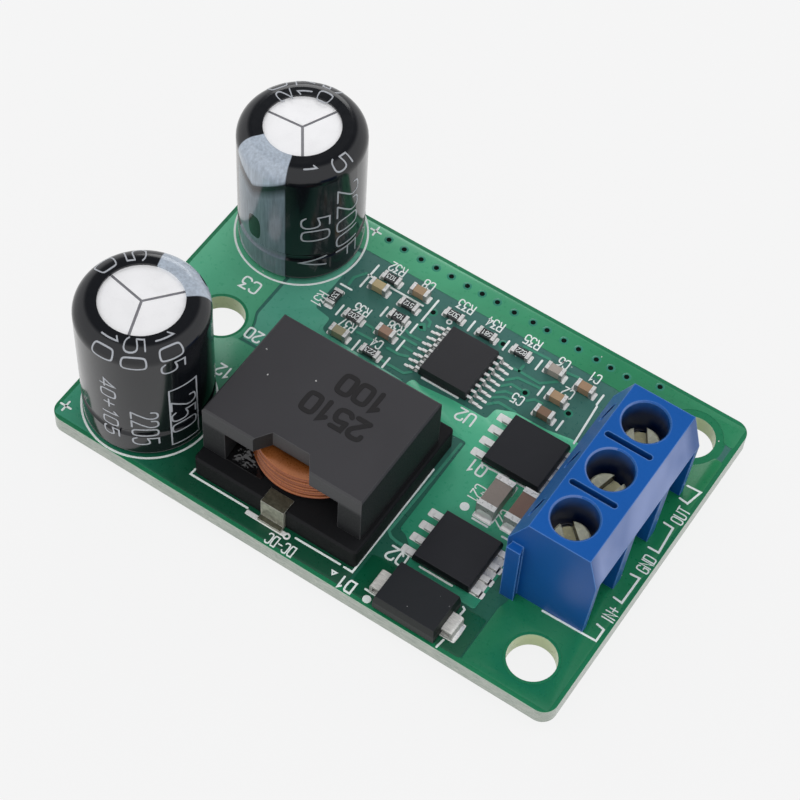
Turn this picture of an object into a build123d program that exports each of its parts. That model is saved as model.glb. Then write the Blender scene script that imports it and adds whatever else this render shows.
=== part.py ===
from build123d import *
from math import cos, radians, sin
import os

os.makedirs("parts", exist_ok=True)

# Circuit board. Parts are placed by shares of its length and width from its middle
board_length = 45.9
board_width = 30.5
board_thick = 1.6
board_corner = 1.2
lead_tail = 1.4
mount_hole_radius = 1.95
mount_inset_x = 3.6
mount_inset_y = 3.45
side_hole_inset = 5.55

# Solder under and beside the parts
solder_height = 1.0
solder_foot = 0.45
solder_film = 0.04

# Radial electrolytic capacitors: share of the board's length, inset from the front or back
# edge, which edge (-1 front, 1 back), open disc radius, vent angle, lead angle
capacitor_places = [
    (-0.37364, 5.45, -1, 3.3, -70, 30),
    (-0.37146, 4.55, 1, 3.1, -55, 90),
]
can_radius = 5.0
can_height = 13.0
can_seat = 0.1
can_shoulder = 1.1
can_heel = 0.4
sleeve_thick = 0.2
sleeve_lap = 0.7
bead_height = 2.9
bead_radius = 0.9
bead_depth = 0.16
vent_arms = 3
vent_depth = 0.12
vent_width = 0.22
bung_radius = 4.2
bung_thick = 1.2
bung_recess = 0.3
cap_lead_radius = 0.3
cap_lead_pitch = 5.0
lead_hole_gap = 0.15

# Power inductor with an open front
choke_share = (-0.06536, -0.20557)
base_length = 14.9
base_width = 13.65
base_height = 2.1
base_corner = 0.4
core_length = 14.4
core_width = 10.75
core_top = 7.3
core_shift_x = -0.2
core_shift_y = -0.2
core_roof = 1.7
core_pillar = 2.05
core_post_radius = 3.0
core_edge = 0.15
notch_front = 5.1
notch_back = 3.3
notch_depth = 1.35
coil_radius = 5.1
coil_gap = 0.15
coil_roof_gap = 0.35
coil_turns = 8
turn_groove = 0.09
clip_width = 2.1
clip_thick = 0.25
clip_flap = 1.15
clip_foot = 0.7
clip_x = 0.05

# Controller in a sixteen-lead gull-wing package
chip_share = (0.01852, 0.22459)
chip_length = 4.4
chip_width = 5.0
chip_body = 0.95
chip_rise = 0.12
chip_draft = 0.08
chip_span = 6.5
chip_pitch = 0.65
chip_lead_width = 0.24
chip_lead_thick = 0.12
chip_leads_per_side = 8
chip_knee_share = 0.35
chip_toe_share = 0.5
pad_length = 3.0
pad_width = 3.4

# Power transistors
transistor_shares = [(0.21242, 0.08852), (0.22004, -0.25082)]
transistor_length = 5.1
transistor_width = 4.85
transistor_height = 1.0
transistor_span = 6.5
transistor_pitch = 1.27
transistor_lead_width = 0.5
transistor_lead_thick = 0.25
transistor_leads = 4
transistor_draft = 0.1
source_lead_length = 1.2
drain_tab_length = 1.1
drain_gap = 0.3

# Rectifier diode
diode_share = (0.21939, -0.43377)
diode_length = 5.4
diode_width = 3.8
diode_height = 1.55
diode_draft = 0.12
diode_lead_width = 1.7
diode_lead_thick = 0.25
diode_reach = 0.95
diode_foot = 1.1

# Larger ceramic capacitors, lying along Y
bulk_shares = [(0.21678, -0.06721), (0.26797, -0.06066)]
bulk_length = 3.2
bulk_width = 1.6
bulk_height = 1.3
bulk_band = 0.5

# Small chip parts: share of the board's length and width, turned across
resistor_shares = [
    (-0.17865, 0.35410, 0), (-0.23856, 0.21639, 90), (-0.18736, 0.19344, 0),
    (-0.12200, 0.30820, 0), (-0.12200, 0.26066, 0), (-0.12200, 0.12459, 0),
    (-0.04466, 0.34918, 0), (0.02397, 0.34754, 0), (0.09368, 0.35082, 0),
]
ceramic_shares = [
    (-0.18519, 0.30984, 0), (-0.11983, 0.35738, 0),
    (-0.18736, 0.12623, 0), (-0.12092, 0.19672, 0),
    (0.16340, 0.34918, 0), (0.22440, 0.34754, 0),
    (0.19499, 0.28033, 0), (0.19390, 0.21967, 0),
]
small_length = 1.6
small_width = 0.8
resistor_height = 0.45
ceramic_height = 0.8
small_band = 0.3
band_thick = 0.04

# Three-way screw terminal block
block_share = (0.39216, -0.01311)
block_ways = 3
block_pitch = 5.0
block_height = 10.0
block_rear = 3.85
block_front = 3.65
block_foot = 3.3
block_rear_top = 2.4
block_front_top = 2.8
rear_bevel_height = 7.1
front_bevel_height = 6.8
well_radius = 1.8
well_lip = 0.12
entry_width = 3.9
entry_depth = 1.9
pocket_width = 3.6
pocket_gap = 0.2
roof_depth = 3.9
slot_length = 4.0
slot_width = 0.5
slot_depth = 0.8
slit_length = 1.5
slit_width = 0.28
slit_depth = 0.5
slit_angle = 75
rib_offset = 2.95
rib_width = 1.2
rib_neck = 0.9
rib_depth = 0.7
rib_height = 6.9
rib_gap = 0.1

# Contact bracket, pressure plate and screw of each way
bracket_rear = 2.1
bracket_front = 1.6
bracket_width = 3.2
bracket_thick = 0.6
bracket_floor = 0.7
pin_length_x = 0.8
pin_length_y = 1.0
pin_hole_gap = 0.1
screw_radius = 1.45
screw_gap = 0.05
screw_top = 7.3
screw_length = 3.5
screw_slot_width = 1.0
screw_slot_depth = 0.9
screw_edge = 0.15
plate_thick = 0.4
plate_gap = 0.2
plate_groove_depth = 0.15
plate_groove_width = 0.3
plate_groove_pitch = 0.8
plate_grooves = 3
screw_slot_angles = [137, 76, 124]

# Levels and the board's place, so that the part's box is centred on the origin
board_bottom = lead_tail
top = board_bottom + board_thick
sleeve_radius = can_radius + sleeve_thick
overhang = sleeve_radius - capacitor_places[1][1]
board_y = -overhang / 2


def laid_out(share_x, share_y):
    """A part's place from the board's centre."""
    return (board_length * share_x, board_width * share_y)


choke_x, choke_y = laid_out(*choke_share)
chip_x, chip_y = laid_out(*chip_share)
diode_x, diode_y = laid_out(*diode_share)
block_x, block_y = laid_out(*block_share)
transistor_places = [laid_out(*share) for share in transistor_shares]
bulk_places = [laid_out(*share) for share in bulk_shares]
resistor_places = [(*laid_out(x, y), turned) for x, y, turned in resistor_shares]
ceramic_places = [(*laid_out(x, y), turned) for x, y, turned in ceramic_shares]


def spot(x, y):
    """A point of the board, measured from the board's centre."""
    return (x, board_y + y)


def keep(part, name):
    part.label = name
    export_step(part, f"parts/{name}.step")


def capacitor_spot(share_x, inset_y, side):
    """A capacitor's centre, its inset taken from the front or back edge."""
    return spot(board_length * share_x, side * (board_width / 2 - inset_y))


def lead_spots(centre, angle):
    """The two lead positions of a capacitor."""
    dx = cap_lead_pitch / 2 * cos(radians(angle))
    dy = cap_lead_pitch / 2 * sin(radians(angle))
    return [(centre[0] - dx, centre[1] - dy), (centre[0] + dx, centre[1] + dy)]


way_spots = [
    spot(block_x, block_y + block_pitch * (k - (block_ways - 1) / 2))
    for k in range(block_ways)
]
between_ways = [
    spot(block_x, block_y + block_pitch * (k - (block_ways - 2) / 2))
    for k in range(block_ways - 1)
]
mount_x = board_length / 2 - mount_inset_x
mount_y = board_width / 2 - mount_inset_y
mount_spots = [
    spot(mount_x, -mount_y),
    spot(mount_x, mount_y),
    spot(side_hole_inset - board_length / 2, 0),
]
cap_lead_spots = [
    point
    for share_x, inset_y, side, disc, vent, angle in capacitor_places
    for point in lead_spots(capacitor_spot(share_x, inset_y, side), angle)
]
pin_hole_radius = (pin_length_x**2 + pin_length_y**2) ** 0.5 / 2 + pin_hole_gap

# Board with its mounting holes and lead holes
with BuildPart() as board:
    with BuildSketch(Plane.XY.offset(board_bottom)):
        with Locations(spot(0, 0)):
            RectangleRounded(board_length, board_width, board_corner)
        with Locations(*mount_spots):
            Circle(mount_hole_radius, mode=Mode.SUBTRACT)
        with Locations(*cap_lead_spots):
            Circle(cap_lead_radius + lead_hole_gap, mode=Mode.SUBTRACT)
        with Locations(*way_spots):
            Circle(pin_hole_radius, mode=Mode.SUBTRACT)
    extrude(amount=board_thick)
keep(board.part, "circuit_board")

# Capacitors: can, shrink sleeve, rubber bung and two leads
can_low = top + can_seat + sleeve_thick
can_high = can_low + can_height
bung_low = can_low + bung_recess


def can_solid(cx, cy, grow):
    """The can's outer form, grown outwards by the sleeve's thickness."""
    with BuildPart() as body:
        with BuildSketch(Plane.XY.offset(can_low - grow)):
            with Locations((cx, cy)):
                Circle(can_radius + grow)
        extrude(amount=can_height + 2 * grow)
        fillet(body.edges().sort_by(Axis.Z)[-1], can_shoulder + grow)
        fillet(body.edges().sort_by(Axis.Z)[0], can_heel + grow)
        with Locations((cx, cy, can_low + bead_height)):
            Torus(
                can_radius - bead_depth + bead_radius,
                bead_radius - grow,
                mode=Mode.SUBTRACT,
            )
    return body.part


for index, place in enumerate(capacitor_places, start=1):
    share_x, inset_y, side, disc, vent, lead_angle = place
    cx, cy = capacitor_spot(share_x, inset_y, side)
    leads_at = lead_spots((cx, cy), lead_angle)

    with BuildPart() as leads:
        with BuildSketch(Plane.XY):
            with Locations(*leads_at):
                Circle(cap_lead_radius)
        extrude(amount=bung_low + bung_thick)
    keep(leads.part, f"capacitor_leads_{index}")

    with BuildPart() as bung:
        with BuildSketch(Plane.XY.offset(bung_low)):
            with Locations((cx, cy)):
                Circle(bung_radius)
            with Locations(*leads_at):
                Circle(cap_lead_radius, mode=Mode.SUBTRACT)
        extrude(amount=bung_thick)
    keep(bung.part, f"capacitor_bung_{index}")

    with BuildPart() as can:
        add(can_solid(cx, cy, 0))
        with BuildSketch(Plane.XY.offset(can_low)):
            with Locations((cx, cy)):
                Circle(bung_radius)
        extrude(amount=bung_recess + bung_thick, mode=Mode.SUBTRACT)
        with BuildSketch(Plane.XY.offset(can_high)):
            with Locations((cx, cy)):
                with PolarLocations(disc / 2, vent_arms, start_angle=vent):
                    Rectangle(disc, vent_width)
        extrude(amount=-vent_depth, mode=Mode.SUBTRACT)
    keep(can.part, f"capacitor_can_{index}")

    with BuildPart() as sleeve:
        add(can_solid(cx, cy, sleeve_thick))
        add(can_solid(cx, cy, 0), mode=Mode.SUBTRACT)
        with BuildSketch(Plane.XY.offset(can_high)):
            with Locations((cx, cy)):
                Circle(disc)
        extrude(amount=sleeve_thick, mode=Mode.SUBTRACT)
        with BuildSketch(Plane.XY.offset(can_low)):
            with Locations((cx, cy)):
                Circle(can_radius - sleeve_lap)
        extrude(amount=-sleeve_thick, mode=Mode.SUBTRACT)
    keep(sleeve.part, f"capacitor_sleeve_{index}")

# Inductor: lower core, upper core with its window and notch, coil and two clips
base_low = top + solder_film
base_high = base_low + base_height
core_high = top + core_top
core_x = choke_x + core_shift_x
core_y = choke_y + core_shift_y
window_high = core_high - core_roof

with BuildPart() as lower_core:
    with BuildSketch(Plane.XY.offset(base_low)):
        with Locations(spot(choke_x, choke_y)):
            RectangleRounded(base_length, base_width, base_corner)
    extrude(amount=base_height)
    chamfer(lower_core.faces().sort_by(Axis.Z)[-1].edges(), core_edge)
keep(lower_core.part, "inductor_base")

with BuildPart() as upper_core:
    with BuildSketch(Plane.XY.offset(base_high)):
        with Locations(spot(core_x, core_y)):
            Rectangle(core_length, core_width)
    extrude(amount=core_high - base_high)
    chamfer(upper_core.faces().sort_by(Axis.Z)[-1].edges(), core_edge)
    with BuildSketch(Plane.XY.offset(base_high)):
        with Locations(spot(core_x, core_y)):
            Rectangle(core_length - 2 * core_pillar, core_width)
            Circle(core_post_radius, mode=Mode.SUBTRACT)
    extrude(amount=window_high - base_high, mode=Mode.SUBTRACT)
    front_y = board_y + core_y - core_width / 2
    with BuildSketch(Plane.XY.offset(window_high)):
        with BuildLine():
            Polyline(
                (core_x - notch_front / 2, front_y),
                (core_x + notch_front / 2, front_y),
                (core_x + notch_back / 2, front_y + notch_depth),
                (core_x - notch_back / 2, front_y + notch_depth),
                close=True,
            )
        make_face()
    extrude(amount=core_roof, mode=Mode.SUBTRACT)
keep(upper_core.part, "inductor_core")

coil_low = base_high + coil_gap
coil_high = window_high - coil_roof_gap
coil_inner = core_post_radius + coil_gap
turn_height = (coil_high - coil_low) / coil_turns
with BuildPart() as coil:
    coil_plane = Plane(
        origin=(*spot(core_x, core_y), 0), x_dir=(1, 0, 0), z_dir=(0, -1, 0)
    )
    with BuildSketch(coil_plane):
        with BuildLine():
            edge_points = []
            for turn in range(coil_turns):
                low = coil_low + turn * turn_height
                edge_points += [
                    (coil_radius - turn_groove, low),
                    (coil_radius, low + turn_height / 2),
                ]
            edge_points.append((coil_radius - turn_groove, coil_high))
            Polyline((coil_inner, coil_low), *edge_points, (coil_inner, coil_high), close=True)
        make_face()
    revolve(axis=Axis((*spot(core_x, core_y), 0), (0, 0, 1)))
keep(coil.part, "inductor_coil")

with BuildPart() as clips:
    for side in (-1, 1):
        clip_plane = Plane(
            origin=(choke_x + clip_x, board_y + choke_y, 0),
            x_dir=(0, side, 0),
            z_dir=(side, 0, 0),
        )
        edge = base_width / 2
        with BuildSketch(clip_plane):
            with BuildLine():
                Polyline(
                    (edge - clip_flap, base_high),
                    (edge, base_high),
                    (edge, base_low),
                    (edge + clip_foot, base_low),
                    (edge + clip_foot, base_low + clip_thick),
                    (edge + clip_thick, base_low + clip_thick),
                    (edge + clip_thick, base_high + clip_thick / 2),
                    (edge - clip_flap, base_high + clip_thick / 2),
                    close=True,
                )
            make_face()
        extrude(amount=clip_width / 2, both=True)
keep(clips.part, "inductor_terminals")


def package(x, y, length, width, low, height, draft):
    """A moulded package whose upper half tapers to its top."""
    with BuildPart() as body:
        with BuildSketch(Plane.XY.offset(low)):
            with Locations(spot(x, y)):
                Rectangle(length, width)
        extrude(amount=height / 2)
        with BuildSketch(Plane.XY.offset(low + height / 2)):
            with Locations(spot(x, y)):
                Rectangle(length, width)
        with BuildSketch(Plane.XY.offset(low + height)):
            with Locations(spot(x, y)):
                Rectangle(length - 2 * draft, width - 2 * draft)
        loft()
    return body.part


# Controller: body, gull-wing leads and the pad under it
chip_low = top + chip_rise
with BuildPart() as chip:
    add(package(chip_x, chip_y, chip_length, chip_width, chip_low, chip_body, chip_draft))
keep(chip.part, "controller_body")

with BuildPart() as chip_leads:
    foot_low = top + solder_film
    knee = chip_low + chip_body / 2 - chip_lead_thick
    half = chip_length / 2
    tip = chip_span / 2
    bend = half + (tip - half) * chip_knee_share
    toe = half + (tip - half) * chip_toe_share
    for side in (-1, 1):
        for row in range(chip_leads_per_side):
            lead_y = chip_y + chip_pitch * (row - (chip_leads_per_side - 1) / 2)
            lead_plane = Plane(
                origin=(chip_x, board_y + lead_y, 0),
                x_dir=(side, 0, 0),
                z_dir=(0, -side, 0),
            )
            with BuildSketch(lead_plane):
                with BuildLine():
                    Polyline(
                        (half, knee),
                        (bend, knee),
                        (toe, foot_low),
                        (tip, foot_low),
                        (tip, foot_low + chip_lead_thick),
                        (toe + chip_lead_thick / 2, foot_low + chip_lead_thick),
                        (bend + chip_lead_thick / 2, knee + chip_lead_thick),
                        (half, knee + chip_lead_thick),
                        close=True,
                    )
                make_face()
            extrude(amount=chip_lead_width / 2, both=True)
keep(chip_leads.part, "controller_leads")

with BuildPart() as chip_pad:
    with BuildSketch(Plane.XY.offset(top)):
        with Locations(spot(chip_x, chip_y)):
            Rectangle(pad_length, pad_width)
    extrude(amount=chip_rise)
keep(chip_pad.part, "controller_pad")

# Power transistors: body over a drain pad, with four leads on each side
transistor_low = top + solder_film
for index, (x, y) in enumerate(transistor_places, start=1):
    with BuildPart() as body:
        add(
            package(
                x,
                y,
                transistor_length,
                transistor_width,
                transistor_low + transistor_lead_thick,
                transistor_height - transistor_lead_thick,
                transistor_draft,
            )
        )
    keep(body.part, f"transistor_body_{index}")

    with BuildPart() as leads:
        reach = transistor_span / 2
        pad_left = source_lead_length + drain_gap - reach
        pad_right = reach - drain_tab_length
        with BuildSketch(Plane.XY.offset(transistor_low)):
            for row in range(transistor_leads):
                lead_y = y + transistor_pitch * (row - (transistor_leads - 1) / 2)
                with Locations(spot(x - reach + source_lead_length / 2, lead_y)):
                    Rectangle(source_lead_length, transistor_lead_width)
                with Locations(spot(x + reach - drain_tab_length / 2, lead_y)):
                    Rectangle(drain_tab_length, transistor_lead_width)
            with Locations(spot(x + (pad_left + pad_right) / 2, y)):
                Rectangle(pad_right - pad_left, transistor_width - transistor_lead_width)
        extrude(amount=transistor_lead_thick)
    keep(leads.part, f"transistor_leads_{index}")

# Diode: body and two folded leads
diode_low = top + solder_film + diode_lead_thick
with BuildPart() as diode:
    add(package(diode_x, diode_y, diode_length, diode_width, diode_low, diode_height, diode_draft))
keep(diode.part, "diode_body")

with BuildPart() as diode_leads:
    lead_low = top + solder_film
    knee = diode_low + diode_height / 2
    half = diode_length / 2
    tip = half + diode_reach
    for side in (-1, 1):
        diode_plane = Plane(
            origin=(diode_x, board_y + diode_y, 0),
            x_dir=(side, 0, 0),
            z_dir=(0, -side, 0),
        )
        with BuildSketch(diode_plane):
            with BuildLine():
                Polyline(
                    (half, knee),
                    (tip, knee),
                    (tip, lead_low),
                    (half - diode_foot, lead_low),
                    (half - diode_foot, diode_low),
                    (tip - diode_lead_thick, diode_low),
                    (tip - diode_lead_thick, knee - diode_lead_thick),
                    (half, knee - diode_lead_thick),
                    close=True,
                )
            make_face()
        extrude(amount=diode_lead_width / 2, both=True)
    for end in (0, -1):
        shoulders = diode_leads.edges().filter_by(Axis.Y).group_by(Axis.Z)[-1]
        fillet(shoulders.sort_by(Axis.X)[end], diode_lead_thick)
keep(diode_leads.part, "diode_leads")


def chip_body_part(x, y, turned, length, width, height):
    """The ceramic block of a chip part, inside its end caps."""
    with BuildPart() as body:
        with BuildSketch(Plane.XY.offset(top + solder_film + band_thick)):
            with Locations(Location((*spot(x, y), 0), (0, 0, turned))):
                Rectangle(length - 2 * band_thick, width - 2 * band_thick)
        extrude(amount=height - 2 * band_thick)
    return body.part


def end_caps(x, y, turned, length, width, height, band):
    """The two metal cups over the ends of a chip part."""
    with BuildPart() as cups:
        with BuildSketch(Plane.XY.offset(top + solder_film)):
            with Locations(Location((*spot(x, y), 0), (0, 0, turned))):
                with GridLocations(length - band, 0, 2, 1):
                    Rectangle(band, width)
        extrude(amount=height)
        add(chip_body_part(x, y, turned, length, width, height), mode=Mode.SUBTRACT)
    return cups.part


# Larger ceramic capacitors
for index, (x, y) in enumerate(bulk_places, start=1):
    with BuildPart() as body:
        add(chip_body_part(x, y, 90, bulk_length, bulk_width, bulk_height))
    keep(body.part, f"bulk_capacitor_body_{index}")
    with BuildPart() as caps:
        add(end_caps(x, y, 90, bulk_length, bulk_width, bulk_height, bulk_band))
    keep(caps.part, f"bulk_capacitor_ends_{index}")

# Small chip resistors and capacitors
for kind, places, height in (
    ("chip_resistor", resistor_places, resistor_height),
    ("chip_capacitor", ceramic_places, ceramic_height),
):
    for index, (x, y, turned) in enumerate(places, start=1):
        with BuildPart() as body:
            add(chip_body_part(x, y, turned, small_length, small_width, height))
        keep(body.part, f"{kind}_{index}")
    with BuildPart() as caps:
        for x, y, turned in places:
            add(end_caps(x, y, turned, small_length, small_width, height, small_band))
    keep(caps.part, f"{kind}_ends")

# Terminal block housing
block_low = top
block_top = block_low + block_height
block_length = block_ways * block_pitch
well_floor = block_top - roof_depth
block_plane = Plane(
    origin=(*spot(block_x, block_y), block_low), x_dir=(1, 0, 0), z_dir=(0, -1, 0)
)
with BuildPart() as housing:
    with BuildSketch(block_plane):
        with BuildLine():
            Polyline(
                (-block_rear, 0),
                (block_foot, 0),
                (block_front, front_bevel_height),
                (block_front_top, block_height),
                (-block_rear_top, block_height),
                (-block_rear, rear_bevel_height),
                close=True,
            )
        make_face()
    extrude(amount=block_length / 2, both=True)
    with BuildSketch(Plane.XY.offset(block_low)):
        rib_x = block_x - rib_offset
        near_y = board_y + block_y - block_length / 2
        with BuildLine():
            Polyline(
                (rib_x - rib_neck / 2, near_y),
                (rib_x + rib_neck / 2, near_y),
                (rib_x + rib_width / 2, near_y - rib_depth),
                (rib_x - rib_width / 2, near_y - rib_depth),
                close=True,
            )
        make_face()
    extrude(amount=rib_height)
    with BuildSketch(Plane.XY.offset(block_low)):
        far_y = board_y + block_y + block_length / 2
        with BuildLine():
            Polyline(
                (rib_x - rib_neck / 2 - rib_gap, far_y),
                (rib_x + rib_neck / 2 + rib_gap, far_y),
                (rib_x + rib_width / 2 + rib_gap, far_y - rib_depth - rib_gap),
                (rib_x - rib_width / 2 - rib_gap, far_y - rib_depth - rib_gap),
                close=True,
            )
        make_face()
    extrude(amount=rib_height + rib_gap, mode=Mode.SUBTRACT)
    with BuildSketch(Plane.XY.offset(block_top)):
        with Locations(*way_spots):
            Circle(well_radius)
    extrude(amount=-roof_depth, mode=Mode.SUBTRACT)
    rims = housing.edges().filter_by(GeomType.CIRCLE).group_by(Axis.Z)[-1]
    chamfer(rims, well_lip)
    with BuildSketch(Plane.XY.offset(block_low)):
        pocket_rear = bracket_rear + pocket_gap
        pocket_front = block_front - entry_depth
        with Locations(*way_spots):
            with Locations(((pocket_front - pocket_rear) / 2, 0)):
                Rectangle(pocket_front + pocket_rear, pocket_width)
    extrude(amount=well_floor - block_low, mode=Mode.SUBTRACT)
    with BuildSketch(Plane.XY.offset(block_low)):
        with Locations(*way_spots):
            with Locations((block_front - entry_depth / 2, 0)):
                Rectangle(entry_depth, entry_width)
    extrude(amount=front_bevel_height, mode=Mode.SUBTRACT)
    with BuildSketch(Plane.XY.offset(block_top)):
        with Locations(*between_ways):
            SlotOverall(slot_length, slot_width)
    extrude(amount=-slot_depth, mode=Mode.SUBTRACT)
    with BuildSketch(Plane.XY.offset(block_top)):
        slit_x = -(block_rear_top + block_rear) / 2
        with Locations(*way_spots):
            with Locations(Location((slit_x, 0, 0), (0, 0, slit_angle))):
                Rectangle(slit_length, slit_width)
    slit_floor = (block_height - rear_bevel_height) / 2 + slit_depth
    extrude(amount=-slit_floor, mode=Mode.SUBTRACT)
keep(housing.part, "terminal_housing")

# Contacts, pressure plates and screws, one set for each way
contact_high = well_floor - pocket_gap
plate_high = top + screw_top - screw_length
for index, ((x, y), slot_angle) in enumerate(zip(way_spots, screw_slot_angles), start=1):
    side_plane = Plane(origin=(x, y, 0), x_dir=(1, 0, 0), z_dir=(0, -1, 0))
    floor_low = block_low + bracket_floor
    with BuildPart() as contact:
        with BuildSketch(side_plane):
            with BuildLine():
                Polyline(
                    (-bracket_rear, floor_low),
                    (bracket_front, floor_low),
                    (bracket_front, floor_low + bracket_thick),
                    (-bracket_rear + bracket_thick, floor_low + bracket_thick),
                    (-bracket_rear + bracket_thick, contact_high - bracket_thick),
                    (bracket_front, contact_high - bracket_thick),
                    (bracket_front, contact_high),
                    (-bracket_rear, contact_high),
                    close=True,
                )
            make_face()
        extrude(amount=bracket_width / 2, both=True)
        with BuildSketch(Plane.XY.offset(contact_high)):
            with Locations((x, y)):
                Circle(screw_radius + screw_gap)
        extrude(amount=-bracket_thick, mode=Mode.SUBTRACT)
        with BuildSketch(Plane.XY):
            with Locations((x, y)):
                Rectangle(pin_length_x, pin_length_y)
        extrude(amount=floor_low)
    keep(contact.part, f"terminal_contact_{index}")

    with BuildPart() as plate:
        plate_rear = bracket_rear - bracket_thick - plate_gap
        with BuildSketch(Plane.XY.offset(plate_high)):
            with Locations((x + (bracket_front - plate_rear) / 2, y)):
                RectangleRounded(bracket_front + plate_rear, 2 * screw_radius, plate_gap)
        extrude(amount=-plate_thick)
        with BuildSketch(Plane.XY.offset(plate_high - plate_thick)):
            with Locations((x, y)):
                with GridLocations(plate_groove_pitch, 0, plate_grooves, 1):
                    Rectangle(plate_groove_width, 2 * screw_radius)
        extrude(amount=plate_groove_depth, mode=Mode.SUBTRACT)
    keep(plate.part, f"wire_clamp_{index}")

    with BuildPart() as screw:
        with BuildSketch(Plane.XY.offset(plate_high)):
            with Locations((x, y)):
                Circle(screw_radius)
        extrude(amount=screw_length)
        chamfer(screw.edges().filter_by(GeomType.CIRCLE), screw_edge)
        with BuildSketch(Plane.XY.offset(top + screw_top)):
            with Locations(Location((x, y, 0), (0, 0, slot_angle))):
                Rectangle(2 * screw_radius, screw_slot_width)
        extrude(amount=-screw_slot_depth, mode=Mode.SUBTRACT)
    keep(screw.part, f"clamp_screw_{index}")

# Solder cones round the leads and pins under the board
with BuildPart() as solder:
    for spots, inner in (
        (cap_lead_spots, cap_lead_radius),
        (way_spots, pin_hole_radius - pin_hole_gap),
    ):
        for x, y in spots:
            with Locations((x, y, board_bottom - solder_height / 2)):
                Cone(inner + solder_film, inner + solder_foot, solder_height)
    with BuildSketch(Plane.XY):
        with Locations(*cap_lead_spots):
            Circle(cap_lead_radius)
        with Locations(*way_spots):
            Rectangle(pin_length_x, pin_length_y)
    extrude(amount=board_bottom, mode=Mode.SUBTRACT)
keep(solder.part, "solder_joints")
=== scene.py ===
import math
import random

import bmesh
import bpy
from mathutils import Matrix, Vector, noise


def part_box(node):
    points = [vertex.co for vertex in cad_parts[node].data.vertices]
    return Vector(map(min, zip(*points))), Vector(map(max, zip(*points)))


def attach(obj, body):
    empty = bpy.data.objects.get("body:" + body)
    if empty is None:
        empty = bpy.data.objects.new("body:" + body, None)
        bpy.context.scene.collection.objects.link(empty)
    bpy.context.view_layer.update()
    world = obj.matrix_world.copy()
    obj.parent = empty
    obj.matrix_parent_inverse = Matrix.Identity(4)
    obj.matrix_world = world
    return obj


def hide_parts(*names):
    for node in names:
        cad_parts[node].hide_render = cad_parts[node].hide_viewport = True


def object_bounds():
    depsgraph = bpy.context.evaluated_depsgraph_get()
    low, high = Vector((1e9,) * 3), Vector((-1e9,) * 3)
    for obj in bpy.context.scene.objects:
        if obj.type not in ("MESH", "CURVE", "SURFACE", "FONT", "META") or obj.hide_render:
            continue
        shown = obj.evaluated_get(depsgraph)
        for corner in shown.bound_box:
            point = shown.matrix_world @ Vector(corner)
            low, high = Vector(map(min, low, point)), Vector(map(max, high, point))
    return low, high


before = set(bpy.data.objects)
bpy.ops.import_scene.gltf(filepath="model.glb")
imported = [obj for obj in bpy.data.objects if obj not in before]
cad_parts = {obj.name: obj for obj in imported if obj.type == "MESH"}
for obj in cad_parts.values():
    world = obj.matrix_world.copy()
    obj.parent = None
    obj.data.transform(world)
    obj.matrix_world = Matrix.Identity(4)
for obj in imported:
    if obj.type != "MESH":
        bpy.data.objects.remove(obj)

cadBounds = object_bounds()
boardLow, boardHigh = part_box("circuit_board")
boardX = (boardHigh.x - boardLow.x) * 1000
boardY = (boardHigh.y - boardLow.y) * 1000
boardTop = boardHigh.z * 1000
boardBottom = boardLow.z * 1000


# Places are in millimetres from the board's front left corner, z from the part's bottom.
def place(x, y, z):
    return Vector((boardLow.x + x / 1000, boardLow.y + y / 1000, z / 1000))


# Low and high corner of a CAD node, in the same millimetres.
def boxOf(name):
    corner = Vector((boardLow.x, boardLow.y, 0))
    return [(point - corner) * 1000 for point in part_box(name)]


def middleOf(name):
    low, high = boxOf(name)
    return (low + high) / 2


# The solved camera, the white tent with its dark gap, one lamp and the paper. Places and sizes
# are in metres, the lens and its sensor in millimetres.
studio = {
    "cameraPlace": (0.050878, -0.088441, 0.159080),
    "cameraRight": (0.83168561, 0.55376239, 0.04057404),
    "cameraUp": (-0.48068685, 0.68150392, 0.55180845),
    "cameraBack": (0.2779194, -0.47843456, 0.8329833),
    "lens": 107.30,
    "sensor": 36,
    "paper": 0.921,
    "paperShare": 0.93,
    "paperHalf": 3.0,
    "paperDrop": 0.00002,
    "paperColour": (0.9, 0.9, 0.9, 1),
    "paperRoughness": 0.8,
    "tent": (1.0, 1.0, 1.02),
    "tentGap": (0.16, 0.16, 0.17),
    "gapAim": (-0.30, 0.48, 0.82),
    "gapInner": 0.945,
    "gapOuter": 0.80,
    "sheenLampPlace": (-0.165, 0.27, 0.20),
    "sheenLampSize": 0.15,
    "sheenLampPower": 0.17,
}


def makeCamera():
    data = bpy.data.cameras.new("camera")
    data.lens = studio["lens"]
    data.sensor_width = studio["sensor"]
    data.clip_start = 0.005
    data.clip_end = 10
    camera = bpy.data.objects.new("camera", data)
    bpy.context.scene.collection.objects.link(camera)
    turn = Matrix((studio["cameraRight"], studio["cameraUp"], studio["cameraBack"])).transposed()
    camera.matrix_world = Matrix.Translation(studio["cameraPlace"]) @ turn.to_4x4()
    bpy.context.scene.camera = camera
    bpy.context.scene.view_settings.view_transform = "Standard"


def makeLamp():
    data = bpy.data.lights.new("sheenLamp", "AREA")
    data.shape = "DISK"
    data.size = studio["sheenLampSize"]
    data.energy = studio["sheenLampPower"]
    lamp = bpy.data.objects.new("sheenLamp", data)
    bpy.context.scene.collection.objects.link(lamp)
    lamp.location = studio["sheenLampPlace"]
    lamp.rotation_euler = (-Vector(studio["sheenLampPlace"])).to_track_quat("-Z", "Y").to_euler()


makeCamera()
makeLamp()


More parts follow.
